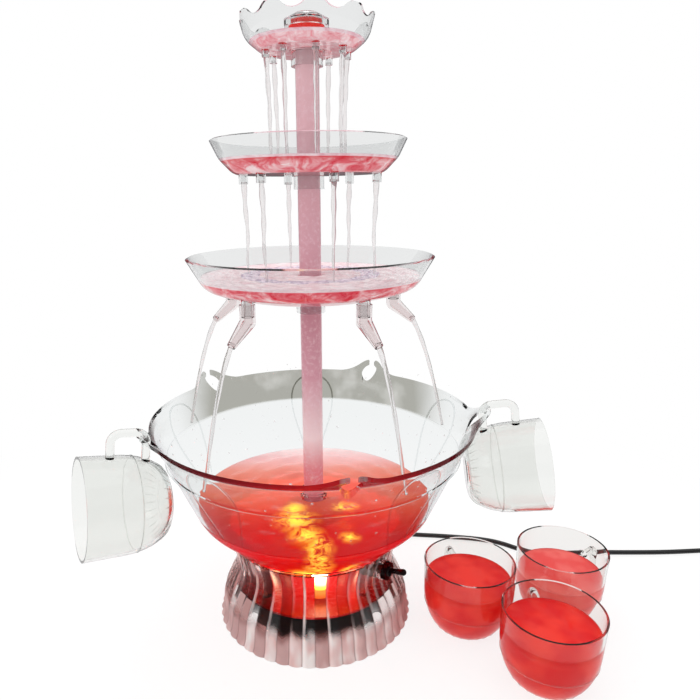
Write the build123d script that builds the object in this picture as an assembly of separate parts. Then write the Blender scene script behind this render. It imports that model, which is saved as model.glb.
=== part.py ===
from build123d import *
import math
import os

os.makedirs("parts", exist_ok=True)

# Fits shared by every piece, in millimetres
clearance = 0.3
slip = 0.08
overrun = 2.0

# Fluted base skirt: shares of its foot radius and height for each section, from the table up to the bowl
skirt_foot_radius = 91.5
skirt_height = 80.6
skirt_section_shares = [(1, 0), (0.955, 0.248), (0.87, 0.496), (0.807, 0.707), (0.822, 0.856), (0.852, 1)]
flute_count = 48
flute_depth = 1.5
skirt_wall = 2.2
skirt_flange = 2.4
light_hole_share = 0.623
post_count = 4
post_first_angle = 45.0
post_radius = 3.5
notch_width = 8.0
notch_height = 16.0

# Lamp deck and the tub hung under it
deck_top = 39.0
deck_thickness = 2.0
deck_gap = 0.9
deck_shaft_gap = 1.5
tub_set_back = 7.4
tub_taper = 4.0
tub_wall = 2.0
tub_flange_width = 10.5
tub_flange = 2.0
foot_height = 3.2
boss_radius = 5.0
boss_set_back = 5.5
boss_height = 18.0
screw_radius = 1.5
screw_head_radius = 3.0
screw_head = 1.9
screw_length = 12.0

# Bottom cover and feet
cover_thickness = 2.0
vent_count = 16
vent_length = 20.0
vent_width = 2.6
vent_pitch_share = 0.594
foot_count = 4
foot_radius = 7.0
foot_taper = 1.0
foot_pitch_share = 0.781

# Motor, shaft and pump
motor_radius = 20.0
motor_gap = 3.8
bracket_rim = 6.0
bracket_thickness = 3.5
motor_boss_radius = 6.0
shaft_radius = 2.5
shaft_root = 7.0
shaft_in_impeller = 7.0
sleeve_wall = 4.8
sleeve_gap = 0.7
seal_width = 3.5
seal_lip = 2.0
impeller_radius = 15.0
impeller_gap = 3.4
impeller_disc = 2.0
impeller_height = 8.6
impeller_hub_wall = 2.5
blade_count = 6
blade_thickness = 1.6
pump_radius = 27.0
pump_wall = 2.0
pump_height = 12.9
pump_cone = 8.5
pump_neck_flare = 1.0
pump_neck_step = 2.0
pump_socket_depth = 14.0
pump_throat_drop = 2.0
inlet_count = 6
inlet_width = 9.0
inlet_height = 6.0

# Lamps on the deck
lamp_count = 3
lamp_first_angle = -84.0
lamp_pitch_share = 0.57
socket_radius = 6.5
socket_height = 9.0
bulb_radius = 7.5
bulb_neck_radius = 4.5
bulb_neck = 5.0

# Toggle switch in the waist of the skirt
switch_angle = -36.5
switch_height_share = 0.806
switch_stand = 2.5
switch_pad_radius = 9.0
switch_pad_thickness = 7.4
switch_bush_radius = 4.2
switch_bush_reach = 5.5
switch_bush_wall = 1.2
switch_box_length = 15.0
switch_box_width = 11.0
switch_box_depth = 13.0
nut_radius = 8.2
nut_thickness = 4.4
nut_notch_count = 16
nut_notch_radius = 0.7
lever_ball_radius = 2.6
lever_root_radius = 1.7
lever_tip_radius = 2.9
lever_reach = 13.0
lever_tilt = 14.0

# Bowl: shares of the rim radius and of the height along its outer wall, from the foot to the flared lip
gasket_thickness = 1.4
bowl_height = 124.4
rim_valley_radius = 141.0
bowl_wall_shares = [(0.55, 0), (0.752, 0.237), (0.989, 0.884), (1.11, 1)]
bowl_corner_radii = [6.0, 34.0, 30.0]
bowl_wall = 2.6
bead_height_share = 0.666
bead_stand = 1.4
bead_width = 2.4
bead_root = 1.6
gasket_inner_share = 0.774
gasket_outer_share = 0.942

# Five beaks of the rim with a keyhole for a cup handle in each
hook_count = 5
hook_first_angle = -7.5
beak_set_back = 3.0
beak_radius = 15.5
beak_blend = 42.0
keyhole_offset = 5.2
keyhole_radius = 8.0
keyhole_gap = 5.6
horn_round = 1.6

# Column tubes and tray hubs
tube_radius = 9.0
tube_wall = 1.6
hub_wall = 3.0
hub_web = 2.6
socket_depth = 10.0
lower_tube_length = 189.0
middle_tube_length = 95.4
upper_tube_length = 84.4

# Large tray with five collars for the spouts
large_tray_radius = 100.5
large_tray_height = 36.0
large_tray_shares = [(0.597, 0.128), (0.866, 0.347), (1, 1)]
large_tray_corner_radii = [60.0, 16.0]
large_tray_wall = 2.2
spout_count = 5
spout_first_angle = -57.5
spout_pitch_share = 0.736
collar_depth = 9.4
collar_wall = 1.6
spout_bore = 3.0
spout_wall = 1.4
spout_drop = 13.1
spout_angle = 50.0
spout_length = 24.0
spout_tip_bore = 2.1
spout_tip_wall = 1.2

# Middle tray with six drip stubs
middle_tray_radius = 76.0
middle_tray_height = 25.5
middle_tray_shares = [(0.77, 0.039), (0.918, 0.49), (1, 1)]
middle_tray_corner_radii = [12.0, 20.0]
middle_tray_wall = 2.0
middle_stub_count = 6
middle_stub_first_angle = -10.0
middle_stub_pitch_share = 0.704
middle_stub_bore = 2.1
middle_stub_wall = 1.5
middle_stub_length = 5.5

# Crown tray with a waved rim, eight drip stubs and the outlet cap
crown_tray_radius = 50.0
crown_tray_height = 22.5
crown_tray_shares = [(0.71, 0.013), (0.924, 0.378), (1, 1)]
crown_tray_corner_radii = [8.0, 14.0]
crown_tray_wall = 1.8
crown_stub_count = 8
crown_stub_first_angle = 12.0
crown_stub_pitch_share = 0.62
crown_stub_bore = 1.6
crown_stub_wall = 1.3
crown_stub_length = 4.5
wave_count = 10
wave_first_angle = -64.7
wave_depth = 5.0
wave_width_share = 0.5
outlet_rise = 11.0
outlet_wall = 2.0
cap_radius = 17.0
cap_lift = 4.5
cap_height = 9.3
cap_wall = 1.8
cap_lobe_count = 8
cap_lobe_depth = 1.4
cap_rib_count = 3
cap_rib_first_angle = 90.0
cap_rib_thickness = 1.8
cap_rib_inset = 0.8
cap_stem_radius = 2.6
cap_stem_drop = 6.0

# Handled cup, standing on its base
cup_radius = 40.0
cup_height = 67.0
cup_base_share = 0.45
cup_round_share = 0.597
cup_draft = 0.8
cup_wall = 1.8
cup_floor = 2.4
handle_radius = 3.3
handle_low = 18.5
handle_span = 27.0
handle_room = 19.0
handle_corner = 8.0
handle_root_shares = [0.825, 0.975]

# Where the cups are: two hang from beaks, three stand on the table
hang_tilt = 8.0
hang_leg_offset = 2.4
hang_bar_rise = 1.6
cup_left_hook = 3
cup_right_hook = 0
cup_near_x, cup_near_y, cup_near_angle = 189.0, -105.0, 86.0
cup_mid_x, cup_mid_y, cup_mid_angle = 139.0, -37.0, 96.0
cup_far_x, cup_far_y, cup_far_angle = 229.5, -18.5, 35.0

# Mains cord: gland in the tub wall, route over the table, coil, tie and plug
cord_radius = 2.5
gland_angle = 75.0
gland_height = 11.4
gland_pad_radius = 6.0
gland_pad_depth = 3.0
gland_pad_stand = 4.5
gland_sleeve_wall = 1.5
gland_flange_wall = 3.1
gland_flange = 2.0
gland_nose = 7.0
gland_nose_wall = 0.8
cord_root = 2.0
cord_drop_inset = 1.5
cord_land_reach = 21.5
cord_route = [
    (42.0, 117.5), (66.0, 120.0), (92.0, 117.4), (117.5, 112.9), (144.8, 110.0), (186.0, 103.2),
    (209.0, 94.8), (227.0, 79.8), (243.0, 72.9), (269.2, 71.8), (313.2, 72.0), (345.0, 71.0), (387.0, 70.4),
    (430.0, 71.6),
]
bend_share = 0.45
coil_x = 470.0
coil_y = 71.6
coil_outer_radius = 36.0
coil_pitch = 5.6
coil_layer_turns = 5
coil_tail = 27.0
coil_sample_step = 1.5
tie_thickness = 0.8
tie_width = 5.0
tie_room = 0.9
plug_length = 32.0
plug_width = 24.0
plug_neck = 12.0
plug_neck_wall = 1.7
plug_round = 4.0
pin_spacing = 12.7
pin_width = 6.3
pin_thickness = 1.5
pin_length = 16.0
pin_root = 4.0


def level_at(points, place):
    """Second value of a rising table of pairs at a first value, on a straight line between its points."""
    for (a, low), (b, high) in zip(points, points[1:]):
        if place <= b:
            return low + (high - low) * (place - a) / (b - a)
    return points[-1][1]


def flipped(points):
    """Table of pairs with the two values of each pair changed over."""
    return [(b, a) for a, b in points]


def tray_path(radius, height, shares, floor):
    """Outer path of a tray from its hub to its rim."""
    return [((tube_radius + hub_radius) / 2, floor)] + [(radius * r, floor + height * h) for r, h in shares]


# Heights and radii that follow from the sizes above
skirt_sections = [(skirt_foot_radius * r, skirt_height * h) for r, h in skirt_section_shares]
skirt_depth = flute_depth + skirt_wall
deck_bottom = deck_top - deck_thickness
deck_radius = level_at(flipped(skirt_sections), deck_top) - skirt_depth - deck_gap
deck_shaft_hole = shaft_radius + deck_shaft_gap
light_hole_radius = skirt_foot_radius * light_hole_share
tub_top_radius = deck_radius - tub_set_back
tub_bottom_radius = tub_top_radius - tub_taper
tub_bottom = foot_height + cover_thickness
tub_flange_radius = tub_top_radius - tub_flange_width
post_pitch_radius = (tub_top_radius + tub_flange_radius) / 2
boss_pitch_radius = tub_bottom_radius - boss_set_back
vent_pitch_radius = tub_bottom_radius * vent_pitch_share
foot_pitch_radius = tub_bottom_radius * foot_pitch_share
lamp_pitch_radius = deck_radius * lamp_pitch_share
motor_bottom = tub_bottom + motor_gap
bracket_radius = motor_radius + bracket_rim
switch_height = skirt_height * switch_height_share
switch_face_radius = level_at(flipped(skirt_sections), switch_height) + switch_stand
switch_bush_bore = switch_bush_radius - switch_bush_wall

bowl_floor = skirt_height + gasket_thickness
bowl_inside = bowl_floor + bowl_wall
bowl_lip = bowl_floor + bowl_height
bowl_profile = [(rim_valley_radius * r, bowl_floor + bowl_height * h) for r, h in bowl_wall_shares]
bead_height = bowl_floor + bowl_height * bead_height_share
bead_radius = level_at(flipped(bowl_profile), bead_height) + bead_stand
gasket_inner = bowl_profile[0][0] * gasket_inner_share
gasket_outer = bowl_profile[0][0] * gasket_outer_share
beak_centre_radius = rim_valley_radius - beak_set_back
keyhole_centre_radius = beak_centre_radius + keyhole_offset

sleeve_bore = shaft_radius + sleeve_gap
sleeve_radius = sleeve_bore + sleeve_wall
seal_radius = shaft_radius + seal_width
shaft_bottom = deck_bottom - shaft_root
impeller_bottom = bowl_inside + impeller_gap
impeller_hub_radius = shaft_radius + impeller_hub_wall
shaft_top = impeller_bottom + shaft_in_impeller
tube_bore = tube_radius - tube_wall
hub_radius = tube_radius + hub_wall
pump_shoulder = bowl_inside + pump_height
pump_neck_foot = pump_shoulder + pump_cone
pump_throat = pump_neck_foot - pump_throat_drop
tube_seat = pump_neck_foot + pump_neck_step
pump_socket_top = tube_seat + pump_socket_depth

large_tray_floor = tube_seat + lower_tube_length
middle_tray_floor = large_tray_floor + hub_web + middle_tube_length
crown_tray_floor = middle_tray_floor + hub_web + upper_tube_length
large_tray_profile = tray_path(large_tray_radius, large_tray_height, large_tray_shares, large_tray_floor)
middle_tray_profile = tray_path(middle_tray_radius, middle_tray_height, middle_tray_shares, middle_tray_floor)
crown_tray_profile = tray_path(crown_tray_radius, crown_tray_height, crown_tray_shares, crown_tray_floor)
collar_bore = spout_bore
collar_radius = collar_bore + collar_wall
spout_radius = collar_radius + spout_wall
spout_tip_radius = spout_tip_bore + spout_tip_wall
spout_pitch_radius = large_tray_radius * spout_pitch_share
spout_top = level_at(large_tray_profile, spout_pitch_radius - spout_radius) - clearance
spout_bend = spout_top - spout_drop
collar_bottom = spout_top - collar_depth
collar_top = level_at(large_tray_profile, spout_pitch_radius) + large_tray_wall / 2
middle_stub_radius = middle_stub_bore + middle_stub_wall
middle_stub_pitch_radius = middle_tray_radius * middle_stub_pitch_share
crown_stub_radius = crown_stub_bore + crown_stub_wall
crown_stub_pitch_radius = crown_tray_radius * crown_stub_pitch_share
wave_width = crown_tray_radius * wave_width_share
outlet_top = crown_tray_floor + outlet_rise
outlet_radius = tube_bore + outlet_wall
cap_edge = outlet_top + cap_lift
cap_top = cap_edge + cap_height
cap_rib_reach = outlet_radius - cap_rib_inset
cap_stem_bottom = outlet_top - cap_stem_drop

cup_base_radius = cup_radius * cup_base_share
cup_round_height = cup_height * cup_round_share
handle_high = handle_low + handle_span
handle_reach = cup_radius + handle_room
handle_root_low = cup_radius * handle_root_shares[0]
handle_root_high = cup_radius * handle_root_shares[1]
hang_leg_radius = keyhole_centre_radius + hang_leg_offset
hang_bar_height = bowl_lip + hang_bar_rise
hook_angles = [hook_first_angle + index * 360 / hook_count for index in range(hook_count)]
hung_cups = {"cup_left": hook_angles[cup_left_hook], "cup_right": hook_angles[cup_right_hook]}
stood_cups = {
    "cup_near": (cup_near_x, cup_near_y, cup_near_angle),
    "cup_mid": (cup_mid_x, cup_mid_y, cup_mid_angle),
    "cup_far": (cup_far_x, cup_far_y, cup_far_angle),
}

gland_pad_inner = tub_bottom_radius - gland_pad_depth
gland_pad_outer = tub_bottom_radius + gland_pad_stand
gland_sleeve_radius = cord_radius + gland_sleeve_wall
gland_flange_radius = cord_radius + gland_flange_wall
gland_nose_radius = cord_radius + gland_nose_wall
cord_start_radius = gland_pad_inner + cord_root
cord_drop_radius = skirt_foot_radius - cord_drop_inset
cord_land_radius = skirt_foot_radius + cord_land_reach
cord_coil_height = cord_radius + tie_thickness + clearance
coil_upper_height = cord_coil_height + coil_pitch
plug_neck_radius = cord_radius + plug_neck_wall


def polar(radius, angle):
    """Point at a radius and an angle in degrees."""
    return (radius * math.cos(math.radians(angle)), radius * math.sin(math.radians(angle)))


def disc(radius, bottom, top):
    """Upright solid cylinder between two heights."""
    return Pos(0, 0, bottom) * extrude(Circle(radius), top - bottom)


def ring(outer, inner, bottom, top):
    """Upright tube between two heights."""
    return Pos(0, 0, bottom) * extrude(Circle(outer) - Circle(inner), top - bottom)


def around(shape, count, first_angle):
    """Copies of a shape turned about the upright axis."""
    return [Rot(0, 0, first_angle + index * 360 / count) * shape for index in range(count)]


def turned(points):
    """Solid of revolution of a closed outline of radius and height pairs."""
    return revolve(Plane.XZ * make_face(Polyline(*points, close=True)), Axis.Z)


def inset(points, distance):
    """Open path moved to its left by a distance, corners mitred."""
    normals = []
    for (x0, y0), (x1, y1) in zip(points, points[1:]):
        run = math.hypot(x1 - x0, y1 - y0)
        normals.append(((y0 - y1) / run, (x1 - x0) / run))
    moved = []
    for index, (x, y) in enumerate(points):
        before = normals[max(index - 1, 0)]
        after = normals[min(index, len(normals) - 1)]
        share = distance / (1 + before[0] * after[0] + before[1] * after[1])
        moved.append((x + (before[0] + after[0]) * share, y + (before[1] + after[1]) * share))
    return moved


def shell(points, radii, wall):
    """Thin turned wall whose outer face follows a path with rounded corners."""
    inner = inset(points, wall)
    inner_radii = []
    for index, radius in enumerate(radii):
        ax, ay = points[index + 1][0] - points[index][0], points[index + 1][1] - points[index][1]
        bx, by = points[index + 2][0] - points[index + 1][0], points[index + 2][1] - points[index + 1][1]
        inner_radii.append(radius - math.copysign(wall, ax * by - ay * bx))
    outside = FilletPolyline(*points, radius=radii)
    inside = FilletPolyline(*inner[::-1], radius=inner_radii[::-1])
    edges = Curve() + [outside, Line(outside @ 1, inside @ 0), inside, Line(inside @ 1, outside @ 0)]
    return revolve(Plane.XZ * make_face(edges), Axis.Z)


def fluted_face(radius, count, depth):
    """Plan outline of rounded flutes that meet in sharp valleys."""
    pitch = 360 / count
    arcs = []
    for index in range(count):
        start = polar(radius - depth, index * pitch)
        middle = polar(radius, (index + 1 / 2) * pitch)
        end = polar(radius - depth, (index + 1) * pitch)
        arcs.append(ThreePointArc(start, middle, end))
    return make_face(Curve() + arcs)


def switch_plane(radius):
    """Plane square to the switch axis at a radius from the column."""
    x, y = polar(radius, switch_angle)
    return Plane(origin=(x, y, switch_height), x_dir=(-y, x, 0), z_dir=(x, y, 0))


def gland_plane(radius):
    """Plane square to the cord gland's axis at a radius from the column."""
    x, y = polar(radius, gland_angle)
    return Plane(origin=(x, y, gland_height), x_dir=(-y, x, 0), z_dir=(x, y, 0))


def build_skirt():
    """Clear waisted skirt, lofted through fluted sections, with posts for the deck."""
    outside = loft([Pos(0, 0, z) * fluted_face(r, flute_count, flute_depth) for r, z in skirt_sections])
    inner = [(r - skirt_depth, z) for r, z in skirt_sections[:-1]]
    inner.append((skirt_sections[-1][0] - skirt_depth, skirt_height - skirt_flange))
    curve = Spline(*inner)
    edges = Curve() + [curve, Polyline(inner[-1], (0, inner[-1][1]), (0, 0), inner[0])]
    body = outside - revolve(Plane.XZ * make_face(edges), Axis.Z)
    body -= disc(light_hole_radius, deck_top, skirt_height + overrun)
    post = Pos(post_pitch_radius, 0, 0) * disc(post_radius, deck_top, skirt_height - skirt_flange / 2)
    pilot = Pos(post_pitch_radius, 0, 0) * disc(screw_radius + slip, deck_top - overrun, deck_top + screw_length)
    body += around(post, post_count, post_first_angle)
    body -= around(pilot, post_count, post_first_angle)
    body += extrude(switch_plane(switch_face_radius) * Circle(switch_pad_radius), -switch_pad_thickness)
    body -= extrude(switch_plane(switch_face_radius) * Circle(switch_bush_radius + slip), overrun, both=True)
    body -= extrude(switch_plane(switch_face_radius) * Circle(switch_bush_radius + slip), -switch_pad_thickness * 2)
    notch = SlotCenterToCenter(2 * (notch_height - notch_width / 2), notch_width, rotation=90)
    x, y = polar(tub_top_radius, gland_angle)
    notch_plane = Plane(origin=(x, y, 0), x_dir=(-y, x, 0), z_dir=(x, y, 0))
    body -= extrude(notch_plane * notch, skirt_foot_radius)
    return body


def build_deck():
    """Dark glossy plate over the tub that carries the lamps."""
    plate = disc(deck_radius, deck_bottom, deck_top) - disc(deck_shaft_hole, deck_bottom - overrun, deck_top + overrun)
    hole = Pos(post_pitch_radius, 0, 0) * disc(screw_radius + slip, deck_bottom - overrun, deck_top + overrun)
    return plate - around(hole, post_count, post_first_angle)


def build_tub():
    """Black tub round the motor with an inward top flange and bosses for the cover."""
    flange_under = deck_bottom - tub_flange
    body = turned([
        (tub_top_radius, deck_bottom), (tub_bottom_radius, tub_bottom), (tub_bottom_radius - tub_wall, tub_bottom),
        (tub_top_radius - tub_wall, flange_under), (tub_flange_radius, flange_under), (tub_flange_radius, deck_bottom),
    ])
    boss = Pos(boss_pitch_radius, 0, 0) * disc(boss_radius, tub_bottom, tub_bottom + boss_height)
    pilot = Pos(boss_pitch_radius, 0, 0) * disc(screw_radius + slip, tub_bottom - overrun, tub_bottom + screw_length)
    body += around(boss, post_count, 0)
    body += extrude(gland_plane(gland_pad_inner) * Circle(gland_pad_radius), gland_pad_outer - gland_pad_inner)
    body -= around(pilot, post_count, 0)
    hole = Pos(post_pitch_radius, 0, 0) * disc(screw_radius + slip, flange_under - overrun, deck_bottom + overrun)
    body -= around(hole, post_count, post_first_angle)
    bore = extrude(gland_plane(gland_pad_inner - overrun) * Circle(gland_sleeve_radius + slip),
                   gland_pad_outer - gland_pad_inner + 2 * overrun)
    return body - bore


def build_cover():
    """Vented bottom cover screwed to the tub."""
    cover_bottom = tub_bottom - cover_thickness
    plate = disc(tub_bottom_radius, cover_bottom, tub_bottom)
    hole = Pos(boss_pitch_radius, 0, 0) * disc(screw_radius + slip, cover_bottom - overrun, tub_bottom + overrun)
    vent = Pos(vent_pitch_radius, 0, cover_bottom - overrun) * extrude(
        SlotOverall(vent_length, vent_width), cover_thickness + 2 * overrun)
    return plate - around(hole, post_count, 0) - around(vent, vent_count, 0)


def build_screws(pitch, head_top, first_angle):
    """Ring of upright screws with their heads below."""
    head = disc(screw_head_radius, head_top - screw_head, head_top)
    shank = disc(screw_radius, head_top, head_top + screw_length)
    return Compound(around(Pos(pitch, 0, 0) * (head + shank), post_count, first_angle))


def build_feet():
    """Rubber feet under the cover, one of them in the middle."""
    foot = turned([(0, 0), (foot_radius - foot_taper, 0), (foot_radius, foot_height), (0, foot_height)])
    return Compound([foot] + around(Pos(foot_pitch_radius, 0, 0) * foot, foot_count, post_first_angle))


def build_motor():
    """Motor can with its nose boss and shaft bore."""
    can_top = deck_bottom - bracket_thickness
    body = disc(motor_radius, motor_bottom, can_top) + disc(motor_boss_radius, can_top, deck_bottom)
    return body - disc(shaft_radius + slip, shaft_bottom, deck_bottom + overrun)


def build_impeller():
    """Pump impeller with straight blades on a disc."""
    top = impeller_bottom + impeller_height
    body = disc(impeller_radius, impeller_bottom, impeller_bottom + impeller_disc)
    body += disc(impeller_hub_radius, impeller_bottom, top)
    blade = Pos(impeller_radius / 2, 0, (impeller_bottom + top) / 2) * Box(
        impeller_radius, blade_thickness, impeller_height)
    body += around(blade, blade_count, 0)
    return body - disc(shaft_radius + slip, impeller_bottom - overrun, shaft_top)


def build_pump_cover():
    """Foot of the column: a bell over the impeller with inlet arches and the tube socket."""
    socket = tube_radius + slip
    body = turned([
        (pump_radius, bowl_inside), (pump_radius, pump_shoulder), (hub_radius + pump_neck_flare, pump_neck_foot),
        (hub_radius, tube_seat), (hub_radius, pump_socket_top), (socket, pump_socket_top), (socket, tube_seat),
        (tube_bore, tube_seat), (tube_bore, pump_throat), (pump_radius - pump_wall, pump_shoulder - pump_wall),
        (pump_radius - pump_wall, bowl_inside),
    ])
    arch = Rectangle(inlet_width, 2 * (inlet_height - inlet_width / 2)) + Pos(
        0, inlet_height - inlet_width / 2) * Circle(inlet_width / 2)
    inlet = extrude(Plane(origin=(0, 0, bowl_inside), x_dir=(0, 1, 0), z_dir=(1, 0, 0)) * arch, pump_radius + overrun)
    return body - around(inlet, inlet_count, 0)


def build_sockets():
    """Lamp holders on the deck."""
    holder = disc(socket_radius, deck_top, deck_top + socket_height)
    return Compound(around(Pos(lamp_pitch_radius, 0, 0) * holder, lamp_count, lamp_first_angle))


def build_bulbs():
    """Small round lamps in the holders."""
    base = deck_top + socket_height
    bulb = disc(bulb_neck_radius, base, base + bulb_neck + bulb_radius)
    bulb += Pos(0, 0, base + bulb_neck + bulb_radius) * Sphere(bulb_radius)
    return Compound(around(Pos(lamp_pitch_radius, 0, 0) * bulb, lamp_count, lamp_first_angle))


def build_switch_body():
    """Switch box behind the pad with its bush through the wall."""
    inner = switch_plane(switch_face_radius - switch_pad_thickness)
    front = switch_plane(switch_face_radius + switch_bush_reach)
    body = extrude(inner * Rectangle(switch_box_width, switch_box_length), -switch_box_depth)
    body += extrude(inner * Circle(switch_bush_radius), switch_pad_thickness + switch_bush_reach)
    mouth = loft([front * Circle(switch_bush_radius - clearance),
                  switch_plane(switch_face_radius) * Circle(switch_bush_bore)])
    body -= extrude(front * Circle(switch_bush_bore), -switch_bush_reach - switch_pad_thickness)
    return body - mouth


def build_switch_nut():
    """Knurled ring nut on the switch bush."""
    face = switch_plane(switch_face_radius)
    notch = [face * Pos(*polar(nut_radius, index * 360 / nut_notch_count)) * Circle(nut_notch_radius)
             for index in range(nut_notch_count)]
    outline = face * (Circle(nut_radius) - Circle(switch_bush_radius + slip))
    return extrude(outline - notch, nut_thickness)


def build_lever():
    """Toggle lever: pivot ball, tapering stem and round tip, tilted up at rest."""
    length = lever_reach + switch_bush_reach
    stem = turned([(0, 0), (lever_root_radius, 0), (lever_tip_radius, length), (0, length)])
    body = Sphere(lever_ball_radius) + stem + Pos(0, 0, length) * Sphere(lever_tip_radius)
    x, y = polar(switch_face_radius, switch_angle)
    place = Pos(x, y, switch_height) * Rot(0, 0, switch_angle) * Rot(0, 90 - lever_tilt, 0)
    return place * body


def rim_plan():
    """Plan of the rim: a circle with beaks, each with an open keyhole."""
    plan = Sketch() + Circle(rim_valley_radius)
    plan += [Rot(0, 0, hook_first_angle + index * 360 / hook_count) * Pos(beak_centre_radius, 0) * Circle(beak_radius)
             for index in range(hook_count)]
    corners = [v for v in plan.vertices() if abs(math.hypot(v.X, v.Y) - rim_valley_radius) < slip]
    plan = fillet(corners, beak_blend)
    reach = beak_centre_radius + beak_radius + overrun - keyhole_centre_radius
    keyhole = Circle(keyhole_radius) + Pos(reach / 2, 0) * Rectangle(reach, keyhole_gap)
    for index in range(hook_count):
        plan -= Rot(0, 0, hook_first_angle + index * 360 / hook_count) * Pos(keyhole_centre_radius, 0) * keyhole
    tip = math.hypot(keyhole_gap / 2, keyhole_centre_radius + keyhole_radius + clearance)
    horns = [v for v in plan.vertices() if math.hypot(v.X, v.Y) > tip]
    return fillet(horns, horn_round)


def build_bowl():
    """Bowl with a flared collar, trimmed in plan to beaks with keyholes."""
    path = [(seal_radius, bowl_floor)] + bowl_profile
    body = shell(path, bowl_corner_radii, bowl_wall)
    body += turned([
        (bead_radius - bead_root, bead_height), (bead_radius, bead_height),
        (bead_radius + bead_width / 2, bead_height + bead_width / 2), (bead_radius, bead_height + bead_width),
        (bead_radius - bead_root, bead_height + bead_width),
    ])
    return body & extrude(rim_plan(), bowl_lip + bowl_wall + overrun)


def tray_hub(web):
    """Hub with a socket from below and one from above."""
    body = disc(hub_radius, web - socket_depth, web + hub_web + socket_depth)
    body -= disc(tube_radius + slip, web - socket_depth - overrun, web)
    body -= disc(tube_radius + slip, web + hub_web, web + hub_web + socket_depth + overrun)
    return body - disc(tube_bore, web - overrun, web + hub_web + overrun)


def stubs(count, first_angle, pitch, radius, bottom, top):
    """Ring of upright round stubs."""
    return around(Pos(pitch, 0, 0) * disc(radius, bottom, top), count, first_angle)


def build_large_tray():
    """Large tray with collars for the spouts."""
    body = shell(large_tray_profile, large_tray_corner_radii, large_tray_wall) + tray_hub(large_tray_floor)
    body += stubs(spout_count, spout_first_angle, spout_pitch_radius, collar_radius, collar_bottom, collar_top)
    return body - stubs(spout_count, spout_first_angle, spout_pitch_radius, collar_bore,
                        collar_bottom - overrun, collar_top + large_tray_wall + overrun)


def build_middle_tray():
    """Middle tray with drip stubs."""
    floor = middle_tray_floor
    body = shell(middle_tray_profile, middle_tray_corner_radii, middle_tray_wall) + tray_hub(floor)
    ring_of = (middle_stub_count, middle_stub_first_angle, middle_stub_pitch_radius)
    body += stubs(*ring_of, middle_stub_radius, floor - middle_stub_length, floor + middle_tray_wall)
    return body - stubs(*ring_of, middle_stub_bore, floor - middle_stub_length - overrun,
                        floor + middle_tray_wall + overrun)


def wave_cutter():
    """Tool that sinks one rounded valley into the crown rim."""
    top = crown_tray_floor + crown_tray_height
    half = wave_width / 2
    quarter = wave_width / 4
    low = top - wave_depth
    middle = top - wave_depth / 2
    ease = wave_depth / 8
    edges = Curve() + [
        Spline((-half, top), (-quarter, middle - ease), (0, low), (quarter, middle - ease), (half, top),
               tangents=[(1, 0), (1, 0)]),
        Polyline((half, top), (half, top + overrun), (-half, top + overrun), (-half, top)),
    ]
    side = Plane(origin=(hub_radius, 0, 0), x_dir=(0, 1, 0), z_dir=(1, 0, 0))
    return extrude(side * make_face(edges), crown_tray_radius)


def build_crown_tray():
    """Crown tray with a waved rim, drip stubs and the outlet neck."""
    floor = crown_tray_floor
    body = shell(crown_tray_profile, crown_tray_corner_radii, crown_tray_wall)
    body += disc(hub_radius, floor - socket_depth, floor + crown_tray_wall) + disc(outlet_radius, floor, outlet_top)
    body -= disc(tube_radius + slip, floor - socket_depth - overrun, floor)
    body -= disc(tube_bore, floor - overrun, outlet_top + overrun)
    ring_of = (crown_stub_count, crown_stub_first_angle, crown_stub_pitch_radius)
    body += stubs(*ring_of, crown_stub_radius, floor - crown_stub_length, floor + crown_tray_wall)
    body -= stubs(*ring_of, crown_stub_bore, floor - crown_stub_length - overrun,
                  floor + crown_tray_wall + overrun)
    return body - around(wave_cutter(), wave_count, wave_first_angle)


def build_cap():
    """Lobed dome over the outlet on three ribs and a stem."""
    knee = cap_edge + (cap_top - cap_edge) / 2
    path = [(cap_radius, cap_edge), (cap_radius, knee), (cap_radius / 2, cap_top), (0, cap_top)]
    under = [(0, cap_top - cap_wall), (cap_radius / 2 - cap_wall / 2, cap_top - cap_wall),
             (cap_radius - cap_lobe_depth - cap_wall, knee), (cap_radius - cap_lobe_depth - cap_wall, cap_edge)]
    body = turned(path + under) & extrude(fluted_face(cap_radius, cap_lobe_count, cap_lobe_depth), cap_top)
    rib = Pos(cap_rib_reach / 2, 0, (outlet_top + cap_top - cap_wall) / 2) * Box(
        cap_rib_reach, cap_rib_thickness, cap_top - cap_wall - outlet_top)
    return body + around(rib, cap_rib_count, cap_rib_first_angle) + disc(cap_stem_radius, cap_stem_bottom, cap_top - cap_wall)


def build_spout():
    """Elbow spout with a socket, a ball bend and a tapering nozzle."""
    bend = Pos(0, 0, spout_bend)
    turn = bend * Rot(0, 180 - spout_angle, 0)
    outer = disc(spout_radius, spout_bend, spout_top) + bend * Sphere(spout_radius)
    outer += turn * turned([(0, 0), (spout_radius, 0), (spout_tip_radius, spout_length), (0, spout_length)])
    inner = disc(collar_bore, spout_bend, spout_top) + bend * Sphere(collar_bore)
    inner += turn * turned([(0, 0), (collar_bore, 0), (spout_tip_bore, spout_length + clearance),
                            (0, spout_length + clearance)])
    body = outer - inner - disc(collar_radius + slip, collar_bottom, spout_top + overrun)
    return Pos(spout_pitch_radius, 0, 0) * body


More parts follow.
